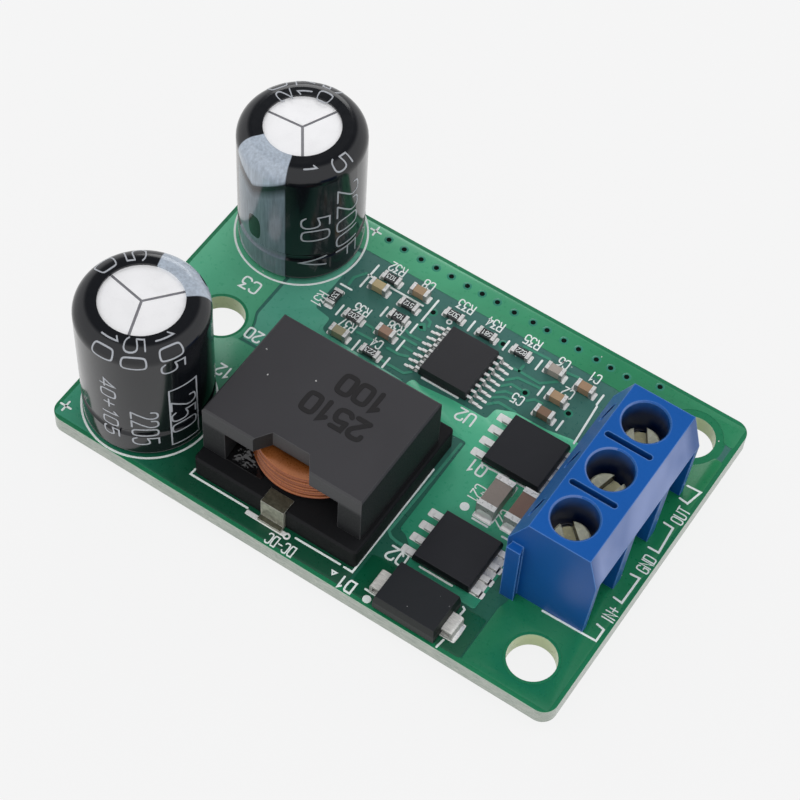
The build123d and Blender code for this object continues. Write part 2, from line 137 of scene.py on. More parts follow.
# Links a socket or sets it: one number fills all of a colour, and a colour gets its alpha.
def feed(tree, socket, value):
    if hasattr(value, "is_linked"):
        tree.links.new(value, socket)
        return
    wide = len(socket.default_value) if hasattr(socket.default_value, "__len__") else 1
    if wide > 1 and not hasattr(value, "__len__"):
        value = (value, value, value, 1)[:wide]
    elif wide == 4 and len(value) == 3:
        value = (*value, 1)
    socket.default_value = value


# Makes a node, with its settings, and feeds the sockets named.
def node(tree, kind, settings=None, **sockets):
    made = tree.nodes.new(kind)
    for key, value in (settings or {}).items():
        setattr(made, key, value)
    for key, value in sockets.items():
        feed(tree, made.inputs[key], value)
    return made


# Sockets 0, 6, 7 and 2 are the share, the two colours and the colour out of a Mix node.
def mixColour(tree, share, first, second, blend="MIX"):
    made = tree.nodes.new("ShaderNodeMix")
    made.data_type = "RGBA"
    made.blend_type = blend
    feed(tree, made.inputs[0], share)
    feed(tree, made.inputs[6], first)
    feed(tree, made.inputs[7], second)
    return made.outputs[2]


def maths(tree, operation, first, second=0.0, clamp=False):
    made = tree.nodes.new("ShaderNodeMath")
    made.operation = operation
    made.use_clamp = clamp
    feed(tree, made.inputs[0], first)
    feed(tree, made.inputs[1], second)
    return made.outputs[0]


def times(tree, first, second, clamp=False):
    return maths(tree, "MULTIPLY", first, second, clamp)


def minus(tree, first, second, clamp=False):
    return maths(tree, "SUBTRACT", first, second, clamp)


def under(tree, value, limit):
    return maths(tree, "LESS_THAN", value, limit)


def over(tree, value, limit):
    return maths(tree, "GREATER_THAN", value, limit)


def unsigned(tree, value):
    return maths(tree, "ABSOLUTE", value)


# Maps a value from one range to another, and holds it inside the second.
def span(tree, value, low, high, outLow=0.0, outHigh=1.0):
    made = tree.nodes.new("ShaderNodeMapRange")
    feed(tree, made.inputs["Value"], value)
    made.inputs["From Min"].default_value = low
    made.inputs["From Max"].default_value = high
    made.inputs["To Min"].default_value = outLow
    made.inputs["To Max"].default_value = outHigh
    return made.outputs[0]


def newGroup(name, inputs, outputs):
    tree = bpy.data.node_groups.new(name, "ShaderNodeTree")
    for label, kind, value in inputs:
        socket = tree.interface.new_socket(label, in_out="INPUT", socket_type=kind)
        if value is not None:
            socket.default_value = value
    for label, kind in outputs:
        tree.interface.new_socket(label, in_out="OUTPUT", socket_type=kind)
    return tree, tree.nodes.new("NodeGroupInput"), tree.nodes.new("NodeGroupOutput")


# Fine grain: a tone round 1 for colours, and a height for bumps and roughness.
grainTree, grainIn, grainOut = newGroup(
    "fineGrain",
    [("Scale", "NodeSocketFloat", 8000.0), ("Stretch", "NodeSocketVector", (1, 1, 1)),
     ("Contrast", "NodeSocketFloat", 0.3)],
    [("Tone", "NodeSocketFloat"), ("Height", "NodeSocketFloat")])
grainCoord = grainTree.nodes.new("ShaderNodeTexCoord")
grainStretch = node(grainTree, "ShaderNodeVectorMath", {"operation": "MULTIPLY"})
grainTree.links.new(grainCoord.outputs["Object"], grainStretch.inputs[0])
grainTree.links.new(grainIn.outputs["Stretch"], grainStretch.inputs[1])
grainNoise = node(grainTree, "ShaderNodeTexNoise", Vector=grainStretch.outputs[0],
                  Scale=grainIn.outputs["Scale"], Detail=3.0, Roughness=0.6)
grainShift = minus(grainTree, grainNoise.outputs[0], 0.5)
grainAmount = times(grainTree, grainShift, grainIn.outputs["Contrast"])
grainTree.links.new(maths(grainTree, "ADD", grainAmount, 1.0), grainOut.inputs["Tone"])
grainTree.links.new(grainNoise.outputs[0], grainOut.inputs["Height"])

# Broad tone: slow change of tone over a surface.
toneTree, toneIn, toneOut = newGroup(
    "broadTone",
    [("Scale", "NodeSocketFloat", 300.0), ("Contrast", "NodeSocketFloat", 0.3)],
    [("Tone", "NodeSocketFloat")])
toneCoord = toneTree.nodes.new("ShaderNodeTexCoord")
toneNoise = node(toneTree, "ShaderNodeTexNoise", Vector=toneCoord.outputs["Object"],
                 Scale=toneIn.outputs["Scale"], Detail=2.0, Distortion=0.4)
toneShift = minus(toneTree, toneNoise.outputs[0], 0.5)
toneAmount = times(toneTree, toneShift, toneIn.outputs["Contrast"])
toneTree.links.new(maths(toneTree, "ADD", toneAmount, 1.0), toneOut.inputs["Tone"])

# Edge rounding and painted edge highlight: rounded normal at edges and a mask that is 1 on them, with
# which edges are painted lighter.
edgeShineTree, edgeShineIn, edgeShineOut = newGroup(
    "edgeRoundingAndHighlight", [("Radius", "NodeSocketFloat", 0.00008), ("Gain", "NodeSocketFloat", 3.0)],
    [("Mask", "NodeSocketFloat"), ("Normal", "NodeSocketVector")])
edgeShineBevel = node(edgeShineTree, "ShaderNodeBevel", {"samples": 6}, Radius=edgeShineIn.outputs["Radius"])
edgeShineGeometry = edgeShineTree.nodes.new("ShaderNodeNewGeometry")
edgeShineDot = node(edgeShineTree, "ShaderNodeVectorMath", {"operation": "DOT_PRODUCT"})
edgeShineTree.links.new(edgeShineBevel.outputs[0], edgeShineDot.inputs[0])
edgeShineTree.links.new(edgeShineGeometry.outputs["Normal"], edgeShineDot.inputs[1])
edgeShineBent = minus(edgeShineTree, 1.0, edgeShineDot.outputs["Value"], clamp=True)
edgeShineMask = times(edgeShineTree, edgeShineBent, edgeShineIn.outputs["Gain"], clamp=True)
edgeShineTree.links.new(edgeShineMask, edgeShineOut.inputs["Mask"])
edgeShineTree.links.new(edgeShineBevel.outputs[0], edgeShineOut.inputs["Normal"])

# Dust flecks: small pale specks, mostly on faces that look up.
dustTree, dustIn, dustOut = newGroup(
    "dustFlecks", [("Scale", "NodeSocketFloat", 900.0), ("Size", "NodeSocketFloat", 0.09)],
    [("Mask", "NodeSocketFloat")])
dustCoord = dustTree.nodes.new("ShaderNodeTexCoord")
dustCells = node(dustTree, "ShaderNodeTexVoronoi", {"feature": "F1"},
                 Vector=dustCoord.outputs["Object"], Scale=dustIn.outputs["Scale"])
dustRagged = node(dustTree, "ShaderNodeTexNoise", Vector=dustCoord.outputs["Object"],
                  Scale=16000.0)
dustSize = times(dustTree, dustIn.outputs["Size"],
                 span(dustTree, dustRagged.outputs[0], 0.3, 0.7, 0.3, 1.5))
dustSpot = under(dustTree, dustCells.outputs["Distance"], dustSize)
dustChance = node(dustTree, "ShaderNodeSeparateColor", Color=dustCells.outputs["Color"])
dustPick = over(dustTree, dustChance.outputs[0], 0.62)
dustGeometry = dustTree.nodes.new("ShaderNodeNewGeometry")
dustFacing = node(dustTree, "ShaderNodeSeparateXYZ", Vector=dustGeometry.outputs["Normal"])
dustUp = span(dustTree, dustFacing.outputs[2], 0.2, 0.7)
dustMask = times(dustTree, times(dustTree, dustSpot, dustPick), dustUp)
dustTree.links.new(dustMask, dustOut.inputs["Mask"])


def useGroup(tree, group, **sockets):
    made = tree.nodes.new("ShaderNodeGroup")
    made.node_tree = group
    for key, value in sockets.items():
        feed(tree, made.inputs[key], value)
    return made


def newMaterial(name):
    made = bpy.data.materials.new(name)
    made.use_nodes = True
    return made, made.node_tree, made.node_tree.nodes["Principled BSDF"]


plainLook = {
    "colour": (0.5, 0.5, 0.5), "edgeColour": None, "edgeGain": 3.0, "edgeRadius": 0.00006,
    "roughness": 0.45, "roughnessSwing": 0.1, "metallic": 0.0, "specular": 0.5,
    "coat": 0.0, "coatRoughness": 0.1, "grainScale": 9000.0, "grainStretch": (1, 1, 1),
    "grainContrast": 0.2, "grainBump": 0.1, "bumpDistance": 0.00002,
    "toneScale": 250.0, "toneContrast": 0.2, "dustScale": 900.0, "dustSize": 0.0,
    "dustColour": (0.6, 0.6, 0.58),
}


# One finish for every material: tone, grain, painted edge highlights and dust, each with its own amounts.
def finish(name, colourFrom=None, **look):
    look = {**plainLook, **look}
    made, tree, shader = newMaterial(name)
    tone = useGroup(tree, toneTree, Scale=look["toneScale"], Contrast=look["toneContrast"])
    grain = useGroup(tree, grainTree, Scale=look["grainScale"], Stretch=look["grainStretch"],
                     Contrast=look["grainContrast"])
    edgeShine = useGroup(tree, edgeShineTree, Radius=look["edgeRadius"], Gain=look["edgeGain"])
    tint = times(tree, tone.outputs["Tone"], grain.outputs["Tone"])
    colour = colourFrom(tree) if colourFrom else look["colour"]
    colour = mixColour(tree, 1.0, colour, tint, "MULTIPLY")
    # Painted highlight: the edge mask lightens edges towards the edge highlight colour.
    if look["edgeColour"]:
        colour = mixColour(tree, edgeShine.outputs["Mask"], colour, look["edgeColour"])
    if look["dustSize"]:
        dust = useGroup(tree, dustTree, Scale=look["dustScale"], Size=look["dustSize"])
        colour = mixColour(tree, dust.outputs["Mask"], colour, look["dustColour"])
    tree.links.new(colour, shader.inputs["Base Color"])
    middle, swing = look["roughness"], look["roughnessSwing"] / 2
    rough = span(tree, grain.outputs["Height"], 0.3, 0.7, middle - swing, middle + swing)
    tree.links.new(rough, shader.inputs["Roughness"])
    shader.inputs["Metallic"].default_value = look["metallic"]
    shader.inputs["Specular IOR Level"].default_value = look["specular"]
    shader.inputs["Coat Weight"].default_value = look["coat"]
    shader.inputs["Coat Roughness"].default_value = look["coatRoughness"]
    bump = node(tree, "ShaderNodeBump", Strength=look["grainBump"], Distance=look["bumpDistance"],
                Height=grain.outputs["Height"], Normal=edgeShine.outputs["Normal"])
    tree.links.new(bump.outputs[0], shader.inputs["Normal"])
    return made


def positionOf(tree):
    geometry = tree.nodes.new("ShaderNodeTexCoord")
    return node(tree, "ShaderNodeSeparateXYZ", Vector=geometry.outputs["Object"]).outputs


def normalOf(tree):
    geometry = tree.nodes.new("ShaderNodeNewGeometry")
    return node(tree, "ShaderNodeSeparateXYZ", Vector=geometry.outputs["Normal"]).outputs


# Distance from an upright line at a place on the board, in metres.
def awayFrom(tree, x, y):
    spot, centre = positionOf(tree), place(x, y, 0)
    east = maths(tree, "POWER", minus(tree, spot[0], centre.x), 2.0)
    north = maths(tree, "POWER", minus(tree, spot[1], centre.y), 2.0)
    return maths(tree, "SQRT", maths(tree, "ADD", east, north))


# World: a white tent with a soft dark gap overhead, plain paper to the camera.
world = bpy.data.worlds.new("world")
bpy.context.scene.world = world
world.use_nodes = True
worldTree = world.node_tree
worldShader = worldTree.nodes["Background"]
worldCoord = worldTree.nodes.new("ShaderNodeTexCoord")
worldAim = node(worldTree, "ShaderNodeVectorMath", {"operation": "DOT_PRODUCT"})
worldTree.links.new(worldCoord.outputs["Generated"], worldAim.inputs[0])
worldAim.inputs[1].default_value = Vector(studio["gapAim"]).normalized()
worldGap = span(worldTree, worldAim.outputs["Value"], studio["gapOuter"], studio["gapInner"])
worldLit = mixColour(worldTree, worldGap, studio["tent"], studio["tentGap"])
worldPath = worldTree.nodes.new("ShaderNodeLightPath")
worldSeen = mixColour(worldTree, worldPath.outputs["Is Camera Ray"], worldLit, (studio["paper"],) * 3)
worldTree.links.new(worldSeen, worldShader.inputs["Color"])


def makeFloor():
    half = studio["paperHalf"]
    corners = [(-half, -half, 0), (half, -half, 0), (half, half, 0), (-half, half, 0)]
    mesh = bpy.data.meshes.new("floor")
    mesh.from_pydata(corners, [], [(0, 1, 2, 3)])
    floor = bpy.data.objects.new("floor", mesh)
    floor.location.z = cadBounds[0][2] - studio["paperDrop"]
    bpy.context.scene.collection.objects.link(floor)
    made, tree, shader = newMaterial("paperFloor")
    shader.inputs["Base Color"].default_value = studio["paperColour"]
    shader.inputs["Roughness"].default_value = studio["paperRoughness"]
    glow = node(tree, "ShaderNodeEmission", Color=(studio["paper"],) * 3 + (1,), Strength=1.0)
    path = tree.nodes.new("ShaderNodeLightPath")
    seen = path.outputs["Is Camera Ray"]
    for ray in ("Is Glossy Ray", "Is Transmission Ray"):
        seen = maths(tree, "MAXIMUM", seen, path.outputs[ray])
    share = times(tree, seen, studio["paperShare"])
    mixed = tree.nodes.new("ShaderNodeMixShader")
    tree.links.new(share, mixed.inputs[0])
    tree.links.new(shader.outputs[0], mixed.inputs[1])
    tree.links.new(glow.outputs[0], mixed.inputs[2])
    tree.links.new(mixed.outputs[0], tree.nodes["Material Output"].inputs[0])
    mesh.materials.append(made)


makeFloor()
print("studio made")


# Smooths the faces, but keeps the edges crisp that turn by more than the limit in degrees.
def shadeByAngle(form, limit):
    for face in form.faces:
        face.smooth = True
    for edge in form.edges:
        edge.smooth = len(edge.link_faces) == 2 and edge.calc_face_angle(0) < math.radians(limit)


# Makes a piece of a finished form, on the converter's body.
def addPiece(name, form, material, limit=38):
    bmesh.ops.recalc_face_normals(form, faces=form.faces)
    shadeByAngle(form, limit)
    mesh = bpy.data.meshes.new(name)
    form.to_mesh(mesh)
    form.free()
    mesh.materials.append(material)
    piece = bpy.data.objects.new(name, mesh)
    bpy.context.scene.collection.objects.link(piece)
    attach(piece, "converter")
    return piece


def onBoard(u, v, h):
    return place(u, v, boardTop + h)


def onUnderside(u, v, h):
    return place(u, v, boardBottom - h)


# Left and right side of a band along a line, mitred at its corners.
def bandSides(line, width, closed):
    left, right = [], []
    for i, here in enumerate(line):
        ways = []
        if i or closed:
            ways.append((here - line[i - 1]).normalized())
        if i < len(line) - 1 or closed:
            ways.append((line[(i + 1) % len(line)] - here).normalized())
        way = sum(ways, Vector((0, 0)))
        way = way.normalized() if way.length > 1e-6 else ways[0]
        side = Vector((-way.y, way.x))
        flat = Vector((-ways[0].y, ways[0].x))
        reach = width / 2 / max(0.45, side.dot(flat))  # 0.45 keeps sharp corners short
        left.append(here + side * reach)
        right.append(here - side * reach)
    return left, right


def ringBand(form, left, right, rise, low, high):
    topLeft, topRight = rise(left, high), rise(right, high)
    lowLeft, lowRight = rise(left, low), rise(right, low)
    for i in range(len(left)):
        j = (i + 1) % len(left)
        form.faces.new((topLeft[i], topRight[i], topRight[j], topLeft[j]))
        form.faces.new((topLeft[i], topLeft[j], lowLeft[j], lowLeft[i]))
        form.faces.new((topRight[j], topRight[i], lowRight[i], lowRight[j]))
        form.faces.new((lowLeft[i], lowLeft[j], lowRight[j], lowRight[i]))


# A flat band along a line, laid on a surface, a closed ring or a strip with round ends.
def ribbon(form, line, width, surface, low, high, closed=False, capSteps=4):
    line = [Vector(p) for p in line]
    if closed and (line[0] - line[-1]).length < 1e-6:
        line = line[:-1]
    left, right = bandSides(line, width, closed)

    def rise(points, h):
        return [form.verts.new(surface(p.x, p.y, h)) for p in points]

    if closed:
        ringBand(form, left, right, rise, low, high)
        return

    def cap(centre, start):
        turns = [Matrix.Rotation(math.pi * k / capSteps, 2) for k in range(1, capSteps)]
        return [centre + turn @ (start - centre) for turn in turns]

    count = len(line)
    outline = left[::-1] + cap(line[0], left[0]) + right + cap(line[-1], right[-1])
    top, base = rise(outline, high), rise(outline, low)
    total = len(outline)
    for i in range(total):
        j = (i + 1) % total
        form.faces.new((top[i], top[j], base[j], base[i]))
    lefts = list(range(count - 1, -1, -1))
    rights = list(range(count + capSteps - 1, 2 * count + capSteps - 1))
    for ring, flip in ((top, False), (base, True)):
        faces = [[ring[lefts[i]], ring[rights[i]], ring[rights[i + 1]], ring[lefts[i + 1]]]
                 for i in range(count - 1)]
        faces.append([ring[k] for k in range(count - 1, count + capSteps)])
        faces.append([ring[k % total] for k in range(2 * count + capSteps - 2, total + 1)])
        for face in faces:
            form.faces.new(face[::-1] if flip else face)


# Cuts the corners of a line twice, so that it runs as a curve.
def smoothLine(line, rounds=2):
    closed = line[0] == line[-1]
    points = [Vector(p) for p in (line[:-1] if closed else line)]
    for _ in range(rounds):
        cut = []
        count = len(points)
        for i in range(count if closed else count - 1):
            a, b = points[i], points[(i + 1) % count]
            cut += [a * 0.75 + b * 0.25, a * 0.25 + b * 0.75]
        if not closed:
            cut = [points[0]] + cut[1:-1] + [points[-1]]
        points = cut
    return points + [points[0]] if closed else points


# Strokes of each sign on a grid 4 wide and 6 high; the first value says whether it is curved.
roundSign = [(0, 1), (0, 5), (.6, 6), (3.4, 6), (4, 5), (4, 1), (3.4, 0), (.6, 0), (0, 1)]
signs = {
    "0": [(1, roundSign)],
    "1": [(0, [(.8, 4.8), (2.2, 6), (2.2, 0)])],
    "2": [(1, [(0, 4.6), (.2, 6), (3.6, 6.2), (4.2, 4.2), (2.6, 2.6), (0, 0)]), (0, [(0, 0), (4, 0)])],
    "3": [(0, [(.2, 6), (3.8, 6), (1.8, 3.6)]),
          (1, [(1.8, 3.6), (4.2, 3.6), (4.2, -.1), (1, -.1), (0, .9)])],
    "4": [(0, [(3, 0), (3, 6), (0, 1.8), (4, 1.8)])],
    "5": [(0, [(3.8, 6), (.5, 6), (.3, 3.4)]), (1, [(.3, 3.4), (4, 4.2), (4.4, .2), (1, -.2), (0, .9)])],
    "6": [(1, [(3.4, 6), (.8, 5.2), (0, 2), (.2, 0), (3.8, -.2), (4.2, 3.4), (1, 3.8), (0, 2)])],
    "7": [(0, [(0, 6), (4, 6), (1.4, 0)])],
    "8": [(1, [(2, 3.2), (.2, 3.6), (.2, 6), (3.8, 6), (3.8, 3.6), (2, 3.2)]),
          (1, [(2, 3.2), (0, 3), (-.2, 0), (4.2, 0), (4, 3), (2, 3.2)])],
    "C": [(1, [(4, 5), (3.4, 6), (.6, 6), (0, 5), (0, 1), (.6, 0), (3.4, 0), (4, 1)])],
    "D": [(0, [(2, 6), (0, 6), (0, 0), (2, 0)]), (1, [(2, 6), (4.1, 6), (4.1, 0), (2, 0)])],
    "F": [(0, [(4, 6), (0, 6), (0, 0)]), (0, [(0, 3.2), (3, 3.2)])],
    "G": [(1, [(4, 5), (3.4, 6), (.6, 6), (0, 5), (0, 1), (.6, 0), (3.4, 0), (4, .8)]),
          (0, [(4, .8), (4, 2.8), (2.4, 2.8)])],
    "I": [(0, [(1, 0), (1, 6)])],
    "N": [(0, [(0, 0), (0, 6), (4, 0), (4, 6)])],
    "O": [(1, roundSign)],
    "Q": [(1, roundSign), (0, [(2.4, 1.6), (4.2, -.4)])],
    "R": [(0, [(0, 0), (0, 6), (2.2, 6)]), (1, [(2.2, 6), (4.3, 6), (4.3, 3), (2.2, 3)]),
          (0, [(0, 3), (2.2, 3), (4, 0)])],
    "T": [(0, [(0, 6), (4, 6)]), (0, [(2, 6), (2, 0)])],
    "U": [(1, [(0, 6), (0, 1.2), (.6, 0), (3.4, 0), (4, 1.2), (4, 6)])],
    "V": [(0, [(0, 6), (2, 0), (4, 6)])],
    "+": [(0, [(0, 3), (4, 3)]), (0, [(2, 1), (2, 5)])],
    "-": [(0, [(.4, 3), (3.6, 3)])],
}
signWide, signTall, signGap = 4.0, 6, 1.5
narrowSigns = {"I": 2.0, "1": 3.2}
strokeLift = 0.0008  # millimetres


# Cuts a line into short parts, so that it follows a bent surface.
def finerLine(points, step):
    finer = [points[0]]
    for a, b in zip(points, points[1:]):
        parts = max(1, math.ceil((b - a).length / step))
        finer += [a.lerp(b, k / parts) for k in range(1, parts + 1)]
    return finer


# Writes a word round its middle; strokes differ a hair in height, where they cross.
def writeSigns(form, text, x, y, height, angle, stroke, surface, low, high, slim=1.0, step=None):
    unit = height / signTall
    widths = [narrowSigns.get(sign, signWide) for sign in text]
    total = sum(widths) + signGap * (len(text) - 1)
    spin = Matrix.Rotation(math.radians(angle), 2)
    along = -total / 2
    lift = 0.0
    for sign, width in zip(text, widths):
        for curved, line in signs[sign]:
            lift = 0.0 if lift > 2.5 * strokeLift else lift + strokeLift
            points = smoothLine(line) if curved else [Vector(p) for p in line]
            points = [Vector(((p.x + along) * unit * slim, (p.y - signTall / 2) * unit)) for p in points]
            if step:
                points = finerLine(points, step)
            points = [spin @ p + Vector((x, y)) for p in points]
            closed = (points[0] - points[-1]).length < 1e-6
            ribbon(form, points, stroke, surface, low - lift, high + lift, closed)
        along += width + signGap


# Points along an arc, or round a whole ring, with its angles in degrees.
def arcLine(x, y, radius, start=0, end=360, steps=48):
    angles = [math.radians(start + (end - start) * k / steps) for k in range(steps + 1)]
    return [(x + radius * math.cos(angle), y + radius * math.sin(angle)) for angle in angles]


# The parts of a ring that lie on the board, each an open line, or the whole ring.
def ringOnBoard(x, y, radius, steps=180, margin=0.11):
    line = arcLine(x, y, radius, steps=steps)
    kept = [margin < u < boardX - margin and margin < v < boardY - margin for u, v in line]
    if all(kept):
        return [line]
    first = kept.index(False)
    runs, run = [], []
    for k in range(first, first + steps + 1):
        if kept[k % steps]:
            run.append(line[k % steps])
        elif run:
            runs.append(run)
            run = []
    return runs


# Turns a profile of (radius, height) round an upright line; only its end may lie on the line.
def lathe(form, x, y, profile, steps, base=None):
    base = boardTop if base is None else base
    rings = []
    for radius, height in profile:
        ring = arcLine(x, y, radius, steps=steps)[:-1] if radius > 1e-6 else [(x, y)]
        rings.append([form.verts.new(place(u, v, base + height)) for u, v in ring])
    for a, b in zip(rings, rings[1:]):
        for k in range(steps):
            j = (k + 1) % steps
            if len(b) == 1:
                form.faces.new((a[k], b[0], a[j]))
            else:
                form.faces.new((a[k], b[k], b[j], a[j]))


# Rounds the corners of an outline, each within 0.45 of its shorter side.
def roundedCorners(loop, radius, steps=4):
    out = []
    points = [Vector(p) for p in loop]
    for i, here in enumerate(points):
        back, front = points[i - 1] - here, points[(i + 1) % len(points)] - here
        reach = min(radius, back.length * 0.45, front.length * 0.45)
        a, b = here + back.normalized() * reach, here + front.normalized() * reach
        for k in range(steps + 1):
            t = k / steps
            out.append(a * (1 - t) ** 2 + here * 2 * t * (1 - t) + b * t * t)
    return out


# Fills outlines, the inner ones as holes, and gives the sheet a thickness.
def addSheet(name, loops, low, high, material, cornerRadius=0.25, edge=0.012, base=None):
    base = boardTop if base is None else base
    data = bpy.data.curves.new(name, "CURVE")
    data.dimensions = "2D"
    data.fill_mode = "BOTH"
    data.extrude = (high - low) / 2 - edge
    data.bevel_depth = edge
    data.bevel_resolution = 1
    for loop, rounded in loops:
        loop = roundedCorners(loop, cornerRadius) if rounded else [Vector(p) for p in loop]
        spline = data.splines.new("POLY")
        spline.points.add(len(loop) - 1)
        spline.use_cyclic_u = True
        for point, target in zip(spline.points, loop):
            point.co = (target.x, target.y, 0, 1)
    carrier = bpy.data.objects.new(name + "Line", data)
    mesh = bpy.data.meshes.new_from_object(carrier)
    bpy.data.objects.remove(carrier)
    form = bmesh.new()
    form.from_mesh(mesh)
    for vertex in form.verts:
        vertex.co = place(vertex.co.x, vertex.co.y, base + (low + high) / 2 + vertex.co.z)
    bmesh.ops.remove_doubles(form, verts=form.verts, dist=1e-7)
    return addPiece(name, form, material)


leftHole, frontHole, backHole = (5.55, 15.25), (42.3, 3.45), (42.3, 27.05)

# The board's mask: colours, then edges in metres and fades in metres from its left or front; the fades
# blend real tone with painted sheen, lighter at the back.
mask = {
    "bareFront": (0.010, 0.110, 0.066),
    "bareBack": (0.058, 0.185, 0.158),
    "track": (0.055, 0.290, 0.190),
    "ring": (0.012, 0.205, 0.088),
    "rimPale": (0.43, 0.46, 0.40),
    "rimGrey": (0.25, 0.30, 0.25),
    "rimLip": (0.30, 0.58, 0.38),
    "holeWall": (0.52, 0.60, 0.32),
    "rimDeep": 0.0009,
    "outlineWide": 0.00045,
    "holeRing": 0.0027,
    "lipFrom": 0.00012,
    "lipTo": 0.00002,
    "lipShare": 0.7,
    "fibreScale": 2600.0,
    "fibreStretch": (0.5, 0.5, 4),
    "fadeBack": (0.002, 0.028),
    "fadeFrontRight": (0.001, 0.012),
    "fadeBackRight": (0.004, 0.034),
}


def sameAcross(front, back):
    return (front, front, back, back)


# Colour of each pour at the board's front left, front right, back left and back right: partly its own
# tone, partly painted sheen that lightens the back and the left.
pourColoursAndSheen = {
    "left": ((0.030, 0.285, 0.165), (0.001, 0.070, 0.032), (0.140, 0.560, 0.320), (0.026, 0.255, 0.112)),
    "middle": sameAcross((0.020, 0.200, 0.125), (0.130, 0.470, 0.330)),
    "switch": sameAcross((0.012, 0.210, 0.120), (0.140, 0.740, 0.420)),
    "front": sameAcross((0.001, 0.085, 0.038), (0.020, 0.200, 0.100)),
    "right": sameAcross((0.010, 0.190, 0.085), (0.012, 0.225, 0.080)),
    "via": sameAcross((0.010, 0.150, 0.085), (0.030, 0.255, 0.165)),
}


# Blends four colours over the board, from front to back and left to right: the mask's tone with painted
# sheen mixed in.
def toneAndSheenAlong(frontLeft, frontRight, backLeft, backRight):
    def colours(tree):
        spot = positionOf(tree)
        back = span(tree, spot[1], *(boardLow.y + far for far in mask["fadeBack"]))
        frontEast = span(tree, spot[0], *(boardLow.x + far for far in mask["fadeFrontRight"]))
        backEast = span(tree, spot[0], *(boardLow.x + far for far in mask["fadeBackRight"]))
        return mixColour(tree, back, mixColour(tree, frontEast, frontLeft, frontRight),
                         mixColour(tree, backEast, backLeft, backRight))
    return colours


# Painted light and shade: one colour on faces that look up and another on the sides and below.
def paintedTopAndSideShade(top, side):
    def colours(tree):
        return mixColour(tree, span(tree, normalOf(tree)[2], 0.35, 0.75), side, top)
    return colours


# The cut edge with its glass fibre, the walls of the holes, and bare mask with darker outlines and painted
# sheen towards the back.
def boardColour(tree):
    spot = positionOf(tree)
    upright = under(tree, unsigned(tree, normalOf(tree)[2]), 0.5)
    middle = (boardLow + boardHigh) / 2
    fromEndX = minus(tree, boardX / 2000, unsigned(tree, minus(tree, spot[0], middle.x)))
    fromEndY = minus(tree, boardY / 2000, unsigned(tree, minus(tree, spot[1], middle.y)))
    fromEdge = maths(tree, "MINIMUM", fromEndX, fromEndY)
    fibre = useGroup(tree, grainTree, Scale=mask["fibreScale"], Stretch=mask["fibreStretch"], Contrast=1.0)
    streak = span(tree, fibre.outputs["Height"], 0.35, 0.65)
    rim = mixColour(tree, streak, mask["rimGrey"], mask["rimPale"])
    side = mixColour(tree, over(tree, fromEdge, mask["rimDeep"]), rim, mask["holeWall"])
    lipLow, lipHigh = boardHigh.z - mask["lipFrom"], boardHigh.z - mask["lipTo"]
    lip = span(tree, spot[2], lipLow, lipHigh, 0.0, mask["lipShare"])
    side = mixColour(tree, lip, side, mask["rimLip"])
    # Bare mask: its own tone, with painted sheen making the back lighter.
    front, back = mask["bareFront"], mask["bareBack"]
    bare = toneAndSheenAlong(front, front, back, back)(tree)
    outline = under(tree, fromEdge, mask["outlineWide"])
    for x, y in (leftHole, frontHole, backHole):
        ring = under(tree, awayFrom(tree, x, y), mask["holeRing"])
        outline = maths(tree, "MAXIMUM", outline, ring)
    bare = mixColour(tree, outline, bare, mask["ring"])
    return mixColour(tree, upright, bare, side)


maskLook = {"roughness": 0.30, "roughnessSwing": 0.08, "specular": 0.42, "coat": 0.15,
            "coatRoughness": 0.2, "grainScale": 2400.0, "grainContrast": 0.10, "grainBump": 0.12,
            "bumpDistance": 0.00003, "toneScale": 180.0, "toneContrast": 0.30, "dustScale": 700.0,
            "dustSize": 0.05}
boardMaterial = finish("boardMask", boardColour, **maskLook)
copperMask = {**maskLook, "edgeRadius": 0.00003}
trackMaterial = finish("trackMask", colour=mask["track"], **copperMask)
pourMaterials = {label: finish(label + "PourMask", toneAndSheenAlong(*shades), **copperMask)
                 for label, shades in pourColoursAndSheen.items()}
# Painted shade: a near-black cap stands in for the shadow inside each via hole.
viaHoleShadeMaterial = finish("viaHole", colour=(0.001, 0.005, 0.004), roughness=0.7, specular=0.1)
silkMaterial = finish("silkscreen", colour=(0.94, 1.0, 0.97), roughness=0.6, grainScale=14000.0,
                      grainContrast=0.30, grainBump=0.3, edgeRadius=0.00002)

# Bright metal of the pads, the solder, the chips' ends, the clips and the leads. Ends, clips and leads
# have painted shade that makes their tops and sides differ, the clips also painted glints on their edges.
tinMaterial = finish("tin", colour=(0.97, 0.97, 0.95), metallic=0.15, roughness=0.34,
                     roughnessSwing=0.14, grainScale=5200.0, grainContrast=0.16, grainBump=0.22,
                     bumpDistance=0.00003)
solderMaterial = finish("solderShine", colour=(0.86, 0.86, 0.83), metallic=0.25, roughness=0.22,
                        roughnessSwing=0.14, grainScale=2200.0, grainContrast=0.16, grainBump=0.3,
                        bumpDistance=0.00005)
endMaterial = finish("chipEnds", paintedTopAndSideShade((0.86, 0.86, 0.84), (0.30, 0.32, 0.30)), metallic=0.3,
                     roughness=0.30, roughnessSwing=0.14, grainScale=3200.0, grainContrast=0.25,
                     grainBump=0.3, bumpDistance=0.00004)
clipMaterial = finish("clipTin", paintedTopAndSideShade((0.10, 0.10, 0.07), (0.42, 0.42, 0.34)), metallic=0.6,
                      roughness=0.42, roughnessSwing=0.16, grainScale=3600.0, grainContrast=1.3,
                      grainBump=0.4, toneScale=900.0, toneContrast=0.8, edgeColour=(0.75, 0.75, 0.7),
                      edgeRadius=0.00005)
